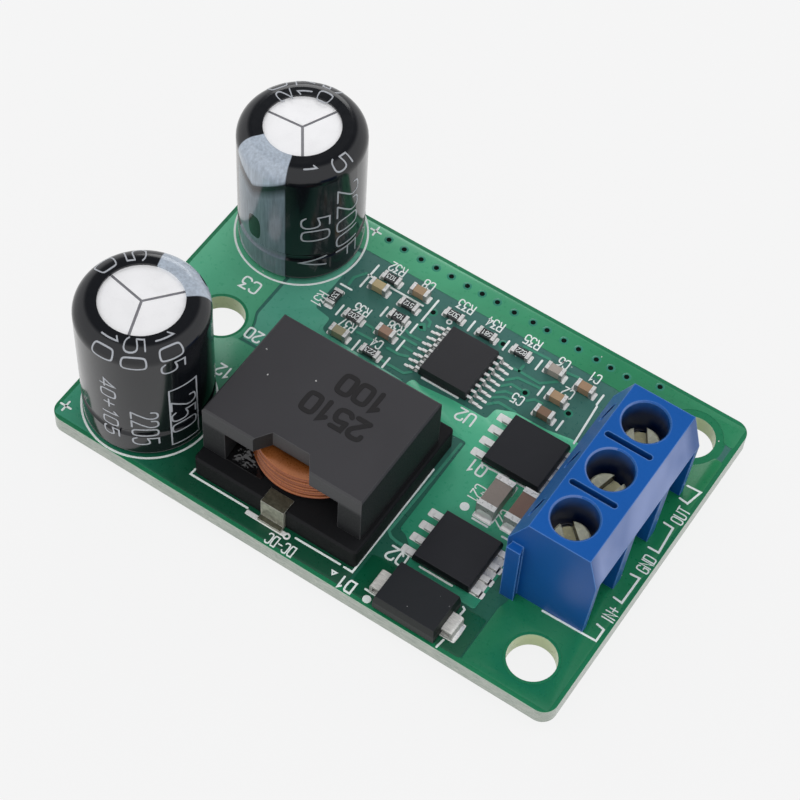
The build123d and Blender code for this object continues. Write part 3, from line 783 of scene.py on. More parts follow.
leadMaterial = finish("tinnedLead", paintedTopAndSideShade((0.97, 0.97, 0.95), (0.50, 0.50, 0.48)), metallic=0.2,
                      roughness=0.36, roughnessSwing=0.1, grainScale=2800.0, grainStretch=(1, 5, 1),
                      grainContrast=0.2, grainBump=0.2)
brushedMaterial = finish("brushedTin", paintedTopAndSideShade((0.78, 0.77, 0.72), (0.42, 0.42, 0.39)), metallic=0.2,
                         roughness=0.36, roughnessSwing=0.14, grainScale=2600.0,
                         grainStretch=(1, 5, 1), grainContrast=0.9, grainBump=0.3)

# The cans' pale tops, with painted shade in the score, which lies between these depths in millimetres.
can = {"disc": (1.0, 1.0, 1.0), "score": (0.30, 0.30, 0.32), "scoreFrom": 0.02, "scoreTo": 0.05}


def canColour(tree):
    top = boxOf("capacitor_can_1")[1].z
    deep = span(tree, positionOf(tree)[2], (top - can["scoreFrom"]) / 1000, (top - can["scoreTo"]) / 1000)
    return mixColour(tree, deep, can["disc"], can["score"])


canMaterial = finish("canMetal", canColour, metallic=0.12, roughness=0.34, roughnessSwing=0.14,
                     grainScale=5200.0, grainStretch=(1, 6, 1), grainContrast=0.14, grainBump=0.22,
                     toneScale=500.0, toneContrast=0.18)
bungMaterial = finish("rubberBung", colour=(0.022, 0.022, 0.024), roughness=0.75, grainBump=0.3)

# Ferrite: painted shade darkens the sides against the top, a painted highlight lightens front faces near
# the top, and painted highlights lighten its edges.
ferrite = {"top": (0.034, 0.033, 0.037), "side": (0.007, 0.008, 0.009), "roofFrontHighlight": (0.050, 0.050, 0.052),
           "roofFrom": 1.9, "roofTo": 1.5}
ferriteLook = {"roughness": 0.62, "roughnessSwing": 0.16, "specular": 0.42, "grainScale": 6500.0,
               "grainContrast": 0.45, "grainBump": 0.35, "bumpDistance": 0.00003, "toneScale": 160.0,
               "toneContrast": 0.35, "dustScale": 650.0, "dustSize": 0.045,
               "edgeColour": (0.16, 0.16, 0.165), "edgeGain": 2.2, "edgeRadius": 0.00010}


# Painted shade on the sides, and a painted highlight on the front faces between roofFrom and roofTo below
# the top.
def ferriteColour(tree):
    top = boxOf("inductor_core")[1].z
    colour = paintedTopAndSideShade(ferrite["top"], ferrite["side"])(tree)
    roof = span(tree, positionOf(tree)[2], (top - ferrite["roofFrom"]) / 1000,
                (top - ferrite["roofTo"]) / 1000)
    front = under(tree, normalOf(tree)[1], -0.6)
    return mixColour(tree, times(tree, roof, front), colour, ferrite["roofFrontHighlight"])


ferriteMaterial = finish("ferriteBlock", ferriteColour, **ferriteLook)
# Painted shadow: the base under the core is coloured nearly black, with faint painted highlights on its
# edges.
baseLook = {**ferriteLook, "specular": 0.2, "edgeColour": (0.025, 0.025, 0.027)}
baseMaterial = finish("ferriteBase", paintedTopAndSideShade((0.006, 0.0065, 0.0075), (0.0055, 0.006, 0.0065)),
                      **baseLook)
inkMaterial = finish("ferriteInk", colour=(0.012, 0.011, 0.012), roughness=0.6, specular=0.3,
                     grainBump=0.3)
# Painted shade: the wire is darker on its sides than on top.
copperMaterial = finish("enamelledWire", paintedTopAndSideShade((0.33, 0.100, 0.022), (0.21, 0.044, 0.015)),
                        roughness=0.30, metallic=0.4, coat=0.4, grainContrast=0.3, toneScale=600.0,
                        toneContrast=0.6)
resinMaterial = finish("windowResin", colour=(0.005, 0.005, 0.0055), roughness=0.14,
                       roughnessSwing=0.05, specular=0.5, coat=0.4, coatRoughness=0.04,
                       grainScale=2600.0, grainContrast=0.3, grainBump=0.35, bumpDistance=0.00006)

# Mouldings: grain, dust and painted highlights on their edges; painted shade darkens the sides of the
# transistors and the diode.
mouldLook = {"specular": 0.3, "grainScale": 12000.0, "grainContrast": 0.35, "grainBump": 0.25,
             "bumpDistance": 0.00002, "toneScale": 350.0, "toneContrast": 0.25, "dustScale": 1100.0,
             "dustSize": 0.035, "edgeColour": (0.07, 0.07, 0.075), "edgeRadius": 0.00007}
controllerMaterial = finish("controllerMoulding", colour=(0.028, 0.028, 0.031), roughness=0.58,
                            **mouldLook)
transistorMaterial = finish("transistorMoulding", paintedTopAndSideShade((0.015, 0.016, 0.020), (0.006, 0.007, 0.009)),
                            roughness=0.5, **mouldLook)
diodeMaterial = finish("diodeMoulding", paintedTopAndSideShade((0.013, 0.015, 0.018), (0.005, 0.008, 0.007)),
                       roughness=0.5, **mouldLook)
# Painted highlights on the resistors' edges.
resistorMaterial = finish("resistorGlaze", colour=(0.022, 0.022, 0.024), roughness=0.35, coat=0.3,
                          edgeColour=(0.4, 0.4, 0.4), edgeRadius=0.00004)

# The blue housing: colours, with painted shade on its sides, its left flank and down its wells, then the
# wells' radius and depths and the ends' fade, in metres, how far a flank leans, and the patchy painted
# sheen on the right one.
blue = {"top": (0.004, 0.098, 0.40), "side": (0.003, 0.066, 0.26), "well": (0.0015, 0.012, 0.06),
        "flank": (0.004, 0.085, 0.30), "sheen": (0.24, 0.31, 0.56), "wellRadius": 0.00195,
        "wellFrom": 0.0004, "wellTo": 0.0016, "endFrom": 0.0072, "endTo": 0.0060,
        "leftLean": 0.2, "rightLean": 0.15, "patchScale": 150.0, "sheenLeast": 0.35, "sheenMost": 0.85}


def blueColour(tree):
    spot, facing = positionOf(tree), normalOf(tree)
    top = boxOf("terminal_housing")[1].z / 1000
    middle = boardLow.y + middleOf("terminal_housing").y / 1000
    colour = paintedTopAndSideShade(blue["top"], blue["side"])(tree)
    # Painted shade on the left flank, and the patchy painted sheen on the right one, fading towards the
    # ends.
    left = times(tree, under(tree, facing[0], -0.2), over(tree, facing[2], blue["leftLean"]))
    colour = mixColour(tree, left, colour, blue["flank"])
    right = times(tree, over(tree, facing[0], 0.2), over(tree, facing[2], blue["rightLean"]))
    patchy = useGroup(tree, toneTree, Scale=blue["patchScale"], Contrast=1.0).outputs["Tone"]
    patches = span(tree, patchy, 0.85, 1.15, blue["sheenLeast"], blue["sheenMost"])
    sheen = times(tree, right, patches)
    fromMiddle = unsigned(tree, minus(tree, spot[1], middle))
    ends = span(tree, fromMiddle, blue["endFrom"], blue["endTo"])
    colour = mixColour(tree, times(tree, sheen, ends), colour, blue["sheen"])
    # Painted shade deepening down each screw's well.
    for k in (1, 2, 3):
        middleOfWell = middleOf(f"clamp_screw_{k}")
        inWell = under(tree, awayFrom(tree, middleOfWell.x, middleOfWell.y), blue["wellRadius"])
        deep = span(tree, spot[2], top - blue["wellFrom"], top - blue["wellTo"])
        colour = mixColour(tree, times(tree, inWell, deep, clamp=True), colour, blue["well"])
    return colour


# Painted highlights on the housing's edges.
bluePlastic = finish("terminalBlue", blueColour, roughness=0.34, roughnessSwing=0.1, specular=0.28,
                     coat=0.06, coatRoughness=0.3, grainScale=5000.0, grainContrast=0.12,
                     grainBump=0.12, toneScale=200.0, toneContrast=0.25, edgeColour=(0.16, 0.36, 0.78),
                     edgeGain=3.2, edgeRadius=0.00016, dustScale=900.0, dustSize=0.03)
contactMaterial = finish("contactMetal", colour=(0.72, 0.70, 0.66), metallic=1.0, roughness=0.34)
clampMaterial = finish("clampMetal", colour=(0.6, 0.6, 0.58), metallic=1.0, roughness=0.42)

# The screws: bright heads with painted glints on their edges, and slots, with painted shade on their
# walls, that lie between these depths in millimetres.
screw = {"head": (1.0, 1.0, 0.74), "slot": (0.95, 0.90, 0.55), "wall": (0.05, 0.045, 0.035),
         "slotFrom": 0.06, "slotTo": 0.2}


def screwColour(tree):
    top = boxOf("clamp_screw_1")[1].z
    deep = span(tree, positionOf(tree)[2], (top - screw["slotFrom"]) / 1000,
                (top - screw["slotTo"]) / 1000)
    # Painted shade on the upright walls of the slot.
    inSlot = mixColour(tree, span(tree, normalOf(tree)[2], 0.4, 0.8), screw["wall"], screw["slot"])
    return mixColour(tree, deep, screw["head"], inSlot)


screwMaterial = finish("screwMetal", screwColour, metallic=0.08, roughness=0.24, roughnessSwing=0.16,
                       grainScale=2600.0, grainContrast=0.25, grainBump=0.2, toneScale=900.0,
                       toneContrast=0.8, edgeColour=(1.0, 1.0, 0.92), edgeRadius=0.00006)

# A sleeve's stripe runs between two azimuths, with an arrow drawn across it by a paler tone
# above and a dark band below, and a dark oval as its minus sign. Heights are millimetres above
# the board, angles are degrees, and the arrow's slope is metres a degree.
sleeve = {
    "ground": (0.005, 0.006, 0.008),
    "dark": (0.006, 0.007, 0.009),
    "arrowSlope": 0.000062,
    "bandShare": 0.95,
    "fade": 0.6,
    "brushScale": 1500.0,
    "brushStretch": (3, 3, 0.35),
    "brushContrast": 0.9,
    "stripes": [
        {"from": 40, "to": 106, "tint": (0.42, 0.48, 0.55), "above": (0.42, 0.48, 0.55),
         "arrowAt": 75, "arrowHigh": 20.0,
         "ovalAt": 62, "ovalHigh": 12.7, "ovalWide": 7.0, "ovalTall": 0.0003},
        {"from": -128, "to": -70, "tint": (0.16, 0.20, 0.235), "above": (0.42, 0.48, 0.55),
         "arrowAt": -103, "arrowHigh": 10.4,
         "ovalAt": -102, "ovalHigh": 5.3, "ovalWide": 7.5, "ovalTall": 0.00135},
    ],
}


def stripeColour(tree, stripe, azimuth, height):
    aside = unsigned(tree, minus(tree, azimuth, stripe["arrowAt"]))
    arrowHigh = (boardTop + stripe["arrowHigh"]) / 1000
    line = maths(tree, "ADD", times(tree, aside, sleeve["arrowSlope"]), arrowHigh)
    above = minus(tree, height, line)
    colour = mixColour(tree, span(tree, above, -0.0001, 0.0003), stripe["tint"], stripe["above"])
    band = times(tree, span(tree, above, -0.0016, -0.0005), span(tree, above, 0.00005, -0.0001))
    colour = mixColour(tree, times(tree, band, sleeve["bandShare"]), colour, sleeve["dark"])
    across = maths(tree, "DIVIDE", minus(tree, azimuth, stripe["ovalAt"]), stripe["ovalWide"])
    ovalHigh = (boardTop + stripe["ovalHigh"]) / 1000
    down = maths(tree, "DIVIDE", minus(tree, height, ovalHigh), stripe["ovalTall"])
    far = maths(tree, "ADD", maths(tree, "POWER", unsigned(tree, across), 3.0),
                maths(tree, "POWER", unsigned(tree, down), 3.0))
    return mixColour(tree, under(tree, far, 1.0), colour, sleeve["dark"])


def sleeveMaterial(name, centre, stripe):
    def colours(tree):
        spot = positionOf(tree)
        east, north = minus(tree, spot[0], centre.x), minus(tree, spot[1], centre.y)
        azimuth = maths(tree, "DEGREES", maths(tree, "ARCTAN2", north, east))
        brushed = useGroup(tree, grainTree, Scale=sleeve["brushScale"], Stretch=sleeve["brushStretch"],
                           Contrast=sleeve["brushContrast"])
        low, high, fade = stripe["from"], stripe["to"], sleeve["fade"]
        inside = times(tree, span(tree, azimuth, low - fade, low + fade),
                       span(tree, azimuth, high + fade, high - fade))
        tinted = stripeColour(tree, stripe, azimuth, spot[2])
        streaked = mixColour(tree, 1.0, tinted, brushed.outputs["Tone"], "MULTIPLY")
        return mixColour(tree, inside, sleeve["ground"], streaked)

    return finish(name, colours, roughness=0.16, roughnessSwing=0.05, coat=0.2, coatRoughness=0.06,
                  specular=0.38, grainScale=1500.0, grainContrast=0.1, grainBump=0.05,
                  toneScale=300.0, toneContrast=0.2, dustScale=900.0, dustSize=0.03)


ceramicColours = [(0.50, 0.40, 0.21), (0.42, 0.29, 0.17), (0.34, 0.31, 0.19), (0.33, 0.20, 0.14),
                  (0.42, 0.37, 0.32), (0.38, 0.24, 0.14), (0.42, 0.28, 0.16), (0.22, 0.13, 0.08)]
bulkColours = [(0.26, 0.22, 0.19), (0.20, 0.12, 0.09)]


# Painted highlights lighten the edges of the ceramic chips.
def ceramicMaterial(name, colour):
    return finish(name, colour=colour, roughness=0.42, grainScale=9000.0, grainContrast=0.3,
                  grainBump=0.2, coat=0.2, toneScale=700.0, toneContrast=0.25,
                  edgeColour=tuple(min(1, c * 1.6) for c in colour), edgeRadius=0.00006)


# Which CAD node wears which finish, and how many nodes of a kind are numbered.
plainNodes = {
    "circuit_board": boardMaterial, "inductor_base": baseMaterial, "inductor_core": ferriteMaterial,
    "inductor_terminals": clipMaterial, "controller_body": controllerMaterial,
    "controller_leads": leadMaterial, "controller_pad": tinMaterial, "diode_body": diodeMaterial,
    "diode_leads": brushedMaterial, "chip_resistor_ends": endMaterial,
    "chip_capacitor_ends": endMaterial, "solder_joints": solderMaterial,
    "terminal_housing": bluePlastic,
}
numberedNodes = {
    "capacitor_can": (2, canMaterial), "capacitor_bung": (2, bungMaterial),
    "capacitor_leads": (2, tinMaterial), "transistor_body": (2, transistorMaterial),
    "transistor_leads": (2, leadMaterial), "bulk_capacitor_ends": (2, endMaterial),
    "chip_resistor": (9, resistorMaterial), "terminal_contact": (3, contactMaterial),
    "wire_clamp": (3, clampMaterial), "clamp_screw": (3, screwMaterial),
}
canSpots = [middleOf("capacitor_can_1"), middleOf("capacitor_can_2")]


def dress(name, material):
    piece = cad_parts[name]
    piece.data.materials.clear()
    piece.data.materials.append(material)


for name, material in plainNodes.items():
    dress(name, material)
for name, (count, material) in numberedNodes.items():
    for k in range(1, count + 1):
        dress(f"{name}_{k}", material)
for k, (spot, stripe) in enumerate(zip(canSpots, sleeve["stripes"]), 1):
    dress(f"capacitor_sleeve_{k}", sleeveMaterial(f"sleeve{k}", place(spot.x, spot.y, 0), stripe))
for k, colour in enumerate(bulkColours, 1):
    dress(f"bulk_capacitor_body_{k}", ceramicMaterial(f"bulkCeramic{k}", colour))
for k, colour in enumerate(ceramicColours, 1):
    dress(f"chip_capacitor_{k}", ceramicMaterial(f"ceramic{k}", colour))
print("nodes dressed")

# Copper under the mask, in millimetres: its gaps to edges and holes, and how high it lies.
copper = {"inset": 0.35, "holeGap": 2.6, "holeCut": 2.2, "low": -0.02, "high": 0.03,
          "trackWide": 0.24, "trackLow": -0.01, "trackHigh": 0.028}
inset, holeGap = copper["inset"], copper["holeGap"]
leftPour = (
    [(inset, inset), (27.53, inset), (27.53, 5.45), (26.9, 6.2), (12.5, 6.2), (12.5, 14.2), (8.05, 14.2)]
    + arcLine(*leftHole, holeGap, -24, 24, 14)
    + [(7.55, 17.2), (7.55, 22.0), (7.55, 26.5), (11.35, 27.5), (35.3, 27.5), (36.3, 27.15), (39.6, 27.15)]
    + arcLine(*backHole, holeGap, 178, 20, 14)
    + [(boardX - inset, 27.9), (boardX - inset, boardY - inset), (inset, boardY - inset)])
middlePour = (
    [(8.15, 14.5), (12.5, 14.5), (21.0, 15.8), (20.95, 18.4), (13.4, 18.65), (12.85, 18.9),
     (12.8, 20.05), (11.2, 20.3), (11.2, 27.0), (7.9, 26.3), (7.85, 17.1)]
    + arcLine(*leftHole, holeGap + 0.28, 22, -10, 8))
switchPour = [
    (21.35, 16.0), (21.3, 18.6), (21.6, 19.05), (22.2, 18.85), (25.13, 19.16), (28.26, 19.21),
    (28.39, 20.38), (29.79, 21.01), (32.62, 21.05), (34.84, 21.45), (36.2, 21.3), (36.2, 14.0),
    (36.2, 8.9), (36.6, 8.7), (36.6, 4.4), (30.4, 4.45), (30.3, 5.6), (28.92, 6.83), (28.25, 7.02),
    (28.2, 16.41), (27.8, 16.48)]
frontPour = [(27.8, inset), (37.9, inset), (37.9, 4.15), (28.9, 4.15), (27.8, 4.0)]
rightPour = (
    [(38.05, inset), (boardX - inset, inset), (boardX - inset, 26.3)]
    + arcLine(*backHole, holeGap, -14, -165, 12)
    + [(38.3, 26.6), (38.3, 6.4), (38.05, 5.6)])
pours = {"left": (leftPour, leftHole), "middle": (middlePour, None), "switch": (switchPour, None),
         "front": (frontPour, None), "right": (rightPour, frontHole)}

tracks = [
    [(21.02, 19.51), (20.56, 19.05), (19.13, 19.05), (18.23, 19.09)],
    [(19.97, 20.59), (19.26, 20.33), (18.17, 20.33)],
    [(19.96, 21.19), (19.01, 21.21)],
    [(19.88, 21.89), (18.44, 21.9), (17.62, 21.8)],
    [(19.94, 22.47), (18.98, 22.42), (18.47, 22.61)],
    [(15.36, 20.22), (16.87, 20.28)],
    [(15.32, 21.27), (16.2, 21.28), (16.43, 20.89)],
    [(19.21, 24.58), (19.59, 24.43), (19.72, 23.97)],
    [(18.87, 23.58), (19.3, 23.95), (19.64, 23.5)],
    [(12.12, 23.75), (12.07, 24.57), (12.68, 25.5)],
    [(27.4, 24.48), (27.97, 24.52), (29.92, 24.46), (30.99, 25.41)],
    [(27.97, 24.52), (27.99, 25.16)],
    [(27.51, 23.15), (28.23, 23.91), (30.27, 24.08)],
    [(27.56, 22.5), (28.14, 23.1), (29.05, 23.08)],
    [(27.57, 21.74), (28.17, 22.3), (28.86, 22.35)],
    [(27.5, 21.1), (28.29, 21.73), (28.95, 21.82)],
    [(29.97, 22.47), (30.4, 22.92), (31.08, 22.96)],
    [(27.58, 20.41), (28.24, 21.06), (29.8, 21.03)],
    [(27.05, 26.76), (29.37, 26.89)],
    [(31.01, 26.55), (32.21, 26.72), (32.9, 26.38)],
    [(27.91, 16.1), (27.67, 6.38), (28.09, 6.04), (28.7, 5.93), (29.16, 5.93)],
]

# Profiles of a via's ring and of its hole, closed by a dark cap of painted shade, as (radius, height),
# turned over on the underside.
via = {
    "ring": [(0.20, -0.02), (0.21, 0.006), (0.26, 0.010), (0.38, 0.006), (0.42, -0.02)],
    "hole": [(0.215, -0.03), (0.215, 0.010), (0.0, 0.004)],
    "ringSteps": 20,
    "holeSteps": 16,
    "pourFrom": 27.5,
}
viaSpots = [
    (12.27, 29.39), (13.84, 29.29), (15.53, 29.24), (17.03, 29.24), (18.51, 29.23), (20.09, 29.17),
    (21.5, 29.2), (22.96, 29.21), (24.62, 29.13), (26.38, 29.18), (27.71, 29.18), (29.35, 29.1),
    (30.75, 29.05), (32.43, 29.02), (33.79, 28.98), (35.28, 28.98), (37.94, 29.69), (19.25, 25.37),
    (19.27, 23.63), (29.45, 23.04), (25.53, 26.0), (33.28, 23.35)]


def makePours():
    for label, (outline, hole) in pours.items():
        loops = [(outline, True)]
        if hole:
            loops.append((arcLine(*hole, copper["holeCut"], 360, 0, 40)[:-1], False))
        addSheet(label + "Pour", loops, copper["low"], copper["high"], pourMaterials[label])


def makeTracks():
    form = bmesh.new()
    for line in tracks:
        ribbon(form, line, copper["trackWide"], onBoard, copper["trackLow"], copper["trackHigh"])
    addPiece("copperTracks", form, trackMaterial)


# The back vias stand on the pour, the others on bare board.
def makeVias(ringName, holeName, up, pourBase, bareBase):
    rings, holes = bmesh.new(), bmesh.new()
    for x, y in viaSpots:
        base = pourBase if y > via["pourFrom"] else bareBase
        lathe(rings, x, y, [(radius, up * high) for radius, high in via["ring"]], via["ringSteps"], base)
        lathe(holes, x, y, [(radius, up * high) for radius, high in via["hole"]], via["holeSteps"], base)
    addPiece(ringName, rings, pourMaterials["via"])
    addPiece(holeName, holes, viaHoleShadeMaterial)


makePours()
makeTracks()
makeVias("viaRings", "viaHoles", 1, boardTop + copper["high"], boardTop)
print("copper made")

# White print on the board, in millimetres. Words lower than smallUnder are small and thin.
silk = {
    "wide": 0.17,
    "fine": 0.12,
    "low": -0.01,
    "high": 0.05,
    "canRings": (5.33, 5.48),
    "pinDot": (20.83, 25.31, 0.2),
    "dots": [(29.59, 0.54, 0.34), (31.21, 11.49, 0.38)],
    "dotSteps": 20,
    "arrow": [(26.1, 1.1), (26.3, 0.8), (26.5, 1.1), (26.1, 1.1)],
    "smallUnder": 0.96,
    "smallStroke": 0.11,
    "smallSlim": 0.62,
    "stroke": 0.16,
    "slim": 0.85,
}
silkLines = [
    [(13.05, 26.72), (13.0, 24.1)], [(12.91, 25.45), (18.22, 25.42)], [(18.97, 26.59), (18.95, 24.11)],
    [(11.58, 23.4), (12.63, 23.4)], [(12.98, 21.75), (12.98, 20.66)], [(15.98, 23.66), (15.98, 22.61)],
    [(15.98, 19.66), (15.98, 18.54)], [(18.88, 19.61), (18.88, 18.53)], [(18.9, 21.7), (18.9, 20.57)],
    [(18.87, 23.63), (18.87, 22.63)], [(22.5, 26.56), (22.5, 25.46)], [(25.8, 26.51), (25.8, 25.5)],
    [(28.95, 26.43), (28.95, 25.41)], [(31.45, 26.17), (31.45, 25.52)], [(30.38, 24.39), (30.38, 23.42)],
    [(34.68, 26.4), (34.68, 25.33)], [(33.32, 22.49), (33.32, 21.46)], [(21.99, 19.52), (25.38, 19.55)],
    [(34.79, 25.2), (35.1, 21.2)],
    [(12.44, 2.4), (12.4, 1.83), (17.74, 1.87)], [(22.26, 1.8), (26.28, 1.85)],
    [(26.66, 1.83), (27.41, 1.83), (27.45, 12.9)],
    [(29.03, 1.19), (29.89, 1.17)], [(36.14, 0.96), (36.03, 0.18)],
    [(35.84, 4.11), (36.05, 3.98), (36.02, 3.45)],
    [(32.26, 10.95), (33.6, 10.95)], [(32.25, 11.46), (33.65, 11.45)], [(31.3, 5.11), (34.18, 5.13)],
    [(34.97, 10.88), (35.53, 10.89)], [(30.79, 15.44), (32.6, 15.6)], [(33.33, 15.59), (34.3, 15.58)],
    [(40.87, 7.22), (44.42, 7.30), (45.46, 7.34), (45.45, 8.47), (44.8, 8.59)],
    [(44.66, 11.25), (45.39, 11.18), (45.42, 13.76), (44.67, 13.7)],
    [(44.6, 16.49), (45.48, 16.51), (45.3, 19.01), (44.49, 19.05)],
    [(44.38, 21.64), (45.12, 21.55), (45.47, 23.02), (44.32, 22.95)],
    [(10.42, 29.5), (11.38, 29.5)], [(10.9, 29.02), (10.9, 29.98)],
    [(0.30, 1.28), (1.26, 1.28)], [(0.78, 0.80), (0.78, 1.76)],
]
# Each label: word, middle, letter height and angle.
labels = [
    ("C3", 5.7, 19.05, 1.15, 180), ("20", 8.8, 15.2, 1.0, 180), ("12", 8.9, 11.0, 1.0, 180),
    ("D1", 27.65, 0.69, 1.0, 180), ("DC-DC", 21.65, 0.66, 0.9, 180), ("Q2", 29.4, 4.9, 1.15, 180),
    ("Q1", 30.15, 14.95, 1.1, 180), ("C21", 31.36, 13.05, 0.95, -90), ("C22", 34.2, 12.2, 0.95, -90),
    ("R31", 11.03, 21.2, 0.9, -90), ("R32", 14.55, 27.3, 0.9, 180), ("C8", 17.5, 27.4, 0.9, 180),
    ("R33", 21.15, 27.35, 0.9, 180), ("R34", 24.0, 27.25, 0.9, 180), ("R35", 27.4, 27.5, 0.9, 180),
    ("C6", 30.5, 27.2, 0.9, 180), ("C1", 33.3, 27.45, 0.9, 180), ("C2", 32.25, 24.95, 0.9, 180),
    ("C5", 29.3, 22.15, 0.9, 180), ("U2", 26.85, 18.4, 1.1, 180), ("R36", 14.45, 22.24, 0.85, 180),
    ("R37", 14.35, 20.3, 0.85, 180), ("R38", 17.65, 22.35, 0.85, 180), ("C4", 17.25, 20.2, 0.85, 180),
    ("IN+", 45.22, 9.9, 0.95, 90), ("GND", 45.22, 15.1, 0.95, 90), ("OUT", 45.22, 20.3, 0.95, 90),
]


def makeSilkLines():
    form = bmesh.new()
    low, high = silk["low"], silk["high"]
    for line in silkLines:
        ribbon(form, line, silk["wide"], onBoard, low, high)
    for spot, radius in zip(canSpots, silk["canRings"]):
        for run in ringOnBoard(spot.x, spot.y, radius):
            ribbon(form, run, silk["wide"], onBoard, low, high, closed=run[0] == run[-1])
    ribbon(form, arcLine(*silk["pinDot"], steps=16), silk["fine"], onBoard, low, high, closed=True)
    for x, y, radius in silk["dots"]:
        lathe(form, x, y, [(radius, 0), (radius, high), (0, high)], silk["dotSteps"])
    ribbon(form, silk["arrow"], silk["fine"], onBoard, low, high, closed=True)
    addPiece("silkscreenLines", form, silkMaterial)


def makeSilkLabels():
    form = bmesh.new()
    for text, x, y, height, angle in labels:
        small = height < silk["smallUnder"]
        writeSigns(form, text, x, y, height, angle, silk["smallStroke" if small else "stroke"], onBoard,
                   silk["low"], silk["high"], slim=silk["smallSlim" if small else "slim"])
    addPiece("silkscreenLettering", form, silkMaterial)


makeSilkLines()
makeSilkLabels()
print("silkscreen made")

# Pads and solder, in millimetres: for each kind where a pad lies from the part's middle or from
# its lead's edge, how long and wide it is, and the width, run and rise of its solder.
pad = {
    "low": -0.01, "high": 0.036, "corner": 0.12,
    "chipReach": 0.78, "chipLong": 0.5, "chipWide": 0.78, "chipHalf": 0.8, "chipSolder": 0.62,
    "chipRun": 0.15, "chipRunSwing": (-0.03, 0.04), "resistorRise": 0.13, "capacitorRise": 0.22,
    "pinPitch": 0.65, "pinReach": 3.05, "pinLong": 1.25, "pinWide": 0.23, "pinCorner": 0.08,
    "legPitch": 1.27, "sourceAt": -3.2, "sourceShift": 0.1, "sourceLong": 1.2, "sourceWide": 0.74,
    "drainAt": 1.2, "drainLong": 4.3, "drainWide": 4.5, "drainLegAt": 3.3, "drainLegLong": 0.6,
    "drainLegWide": 0.62,
    "bulkReach": 1.56, "bulkWide": 1.65, "bulkLong": 1.05, "bulkHalf": 1.6, "bulkSolder": (1.4, 0.44, 0.6),
    "diodeIn": 0.6, "diodeWide": 1.8, "diodeSolderIn": 0.04, "diodeSolderWide": 1.4, "diodeRise": 0.24,
    "diodeLeft": (1.3, 0.14), "diodeRight": (1.7, 0.34),
    "clipShift": -0.35, "clipIn": 0.12, "clipLong": 3.7, "clipWide": 0.44,
    "blobAt": 21.6, "blobIn": 0.1, "blobSteps": 20,
    "blob": [(0.13, 0.0), (0.15, 0.06), (0.22, 0.08), (0.3, 0.05), (0.32, 0.0)],
}
# The fall of solder as shares of its run and rise, its places across as shares of half its
# width, how much it spreads and rounds off towards its foot, and how low its edges lie.
fall = {"profile": [(-0.05, 1.0), (0.0, 1.0), (0.14, 0.62), (0.34, 0.33), (0.62, 0.13)],
        "across": (-1, -0.72, 0, 0.72, 1), "spread": 0.12, "edgeDrop": 0.55,
        "foot": 0.035, "footHigh": 0.01, "sunk": 0.02}


def roundedPad(form, x, y, sizeX, sizeY, corner=pad["corner"]):
    box = [(x - sizeX / 2, y - sizeY / 2), (x + sizeX / 2, y - sizeY / 2),
           (x + sizeX / 2, y + sizeY / 2), (x - sizeX / 2, y + sizeY / 2)]
    loop = roundedCorners(box, corner, 3)
    top = [form.verts.new(onBoard(p.x, p.y, pad["high"])) for p in loop]
    base = [form.verts.new(onBoard(p.x, p.y, pad["low"])) for p in loop]
    form.faces.new(top)
    form.faces.new(base[::-1])
    for i in range(len(loop)):
        j = (i + 1) % len(loop)
        form.faces.new((top[i], base[i], base[j], top[j]))


# A concave run of solder from a lead or cap down to its pad.
def fillet(form, x, y, angle, width, run, rise):
    spin = Matrix.Rotation(math.radians(angle), 2)
    profile = [(t, share * rise) for t, share in fall["profile"]] + [(1.0, fall["footHigh"])]
    foot, spread = fall["foot"], fall["spread"]
    rows, base = [], []
    for t, h in profile:
        half = width / 2 * (1.0 + spread * max(0, t))
        row, lowRow = [], []
        for s in fall["across"]:
            out = max(t, 0) * run * (1 - spread * abs(s)) + min(t, 0) * run
            spot = Vector((x, y)) + spin @ Vector((out, s * half))
            drop = fall["edgeDrop"] if abs(s) == 1 else 1.0
            row.append(form.verts.new(onBoard(spot.x, spot.y, foot + h * drop)))
            lowRow.append(form.verts.new(onBoard(spot.x, spot.y, foot - fall["sunk"])))
        rows.append(row)
        base.append(lowRow)
    for a, b, c, d in zip(rows, rows[1:], base, base[1:]):
        for i in range(4):
            form.faces.new((a[i], a[i + 1], b[i + 1], b[i]))
            form.faces.new((c[i], d[i], d[i + 1], c[i + 1]))
        form.faces.new((a[0], b[0], d[0], c[0]))
        form.faces.new((a[4], c[4], d[4], b[4]))
    for i in range(4):
        form.faces.new((rows[0][i], base[0][i], base[0][i + 1], rows[0][i + 1]))
        form.faces.new((rows[-1][i], rows[-1][i + 1], base[-1][i + 1], base[-1][i]))


# Pads and solder at both ends of a chip, which lies along x or across it.
def chipJoints(pads, solder, name, rise, rng):
    low, high = boxOf(name)
    x, y = (low.x + high.x) / 2, (low.y + high.y) / 2
    across = (high.y - low.y) > (high.x - low.x)
    for side in (-1, 1):
        reach, half = side * pad["chipReach"], side * pad["chipHalf"]
        run = pad["chipRun"] + rng.uniform(*pad["chipRunSwing"])
        if across:
            roundedPad(pads, x, y + reach, pad["chipWide"], pad["chipLong"])
            fillet(solder, x, y + half, 90 * side, pad["chipSolder"], run, rise)
        else:
            roundedPad(pads, x + reach, y, pad["chipLong"], pad["chipWide"])
            fillet(solder, x + half, y, 0 if side > 0 else 180, pad["chipSolder"], run, rise)


def controllerPads(pads):
    middle = middleOf("controller_body")
    for k in range(8):
        y = middle.y + (k - 3.5) * pad["pinPitch"]
        for side in (-1, 1):
            x = middle.x + side * pad["pinReach"]
            roundedPad(pads, x, y, pad["pinLong"], pad["pinWide"], pad["pinCorner"])


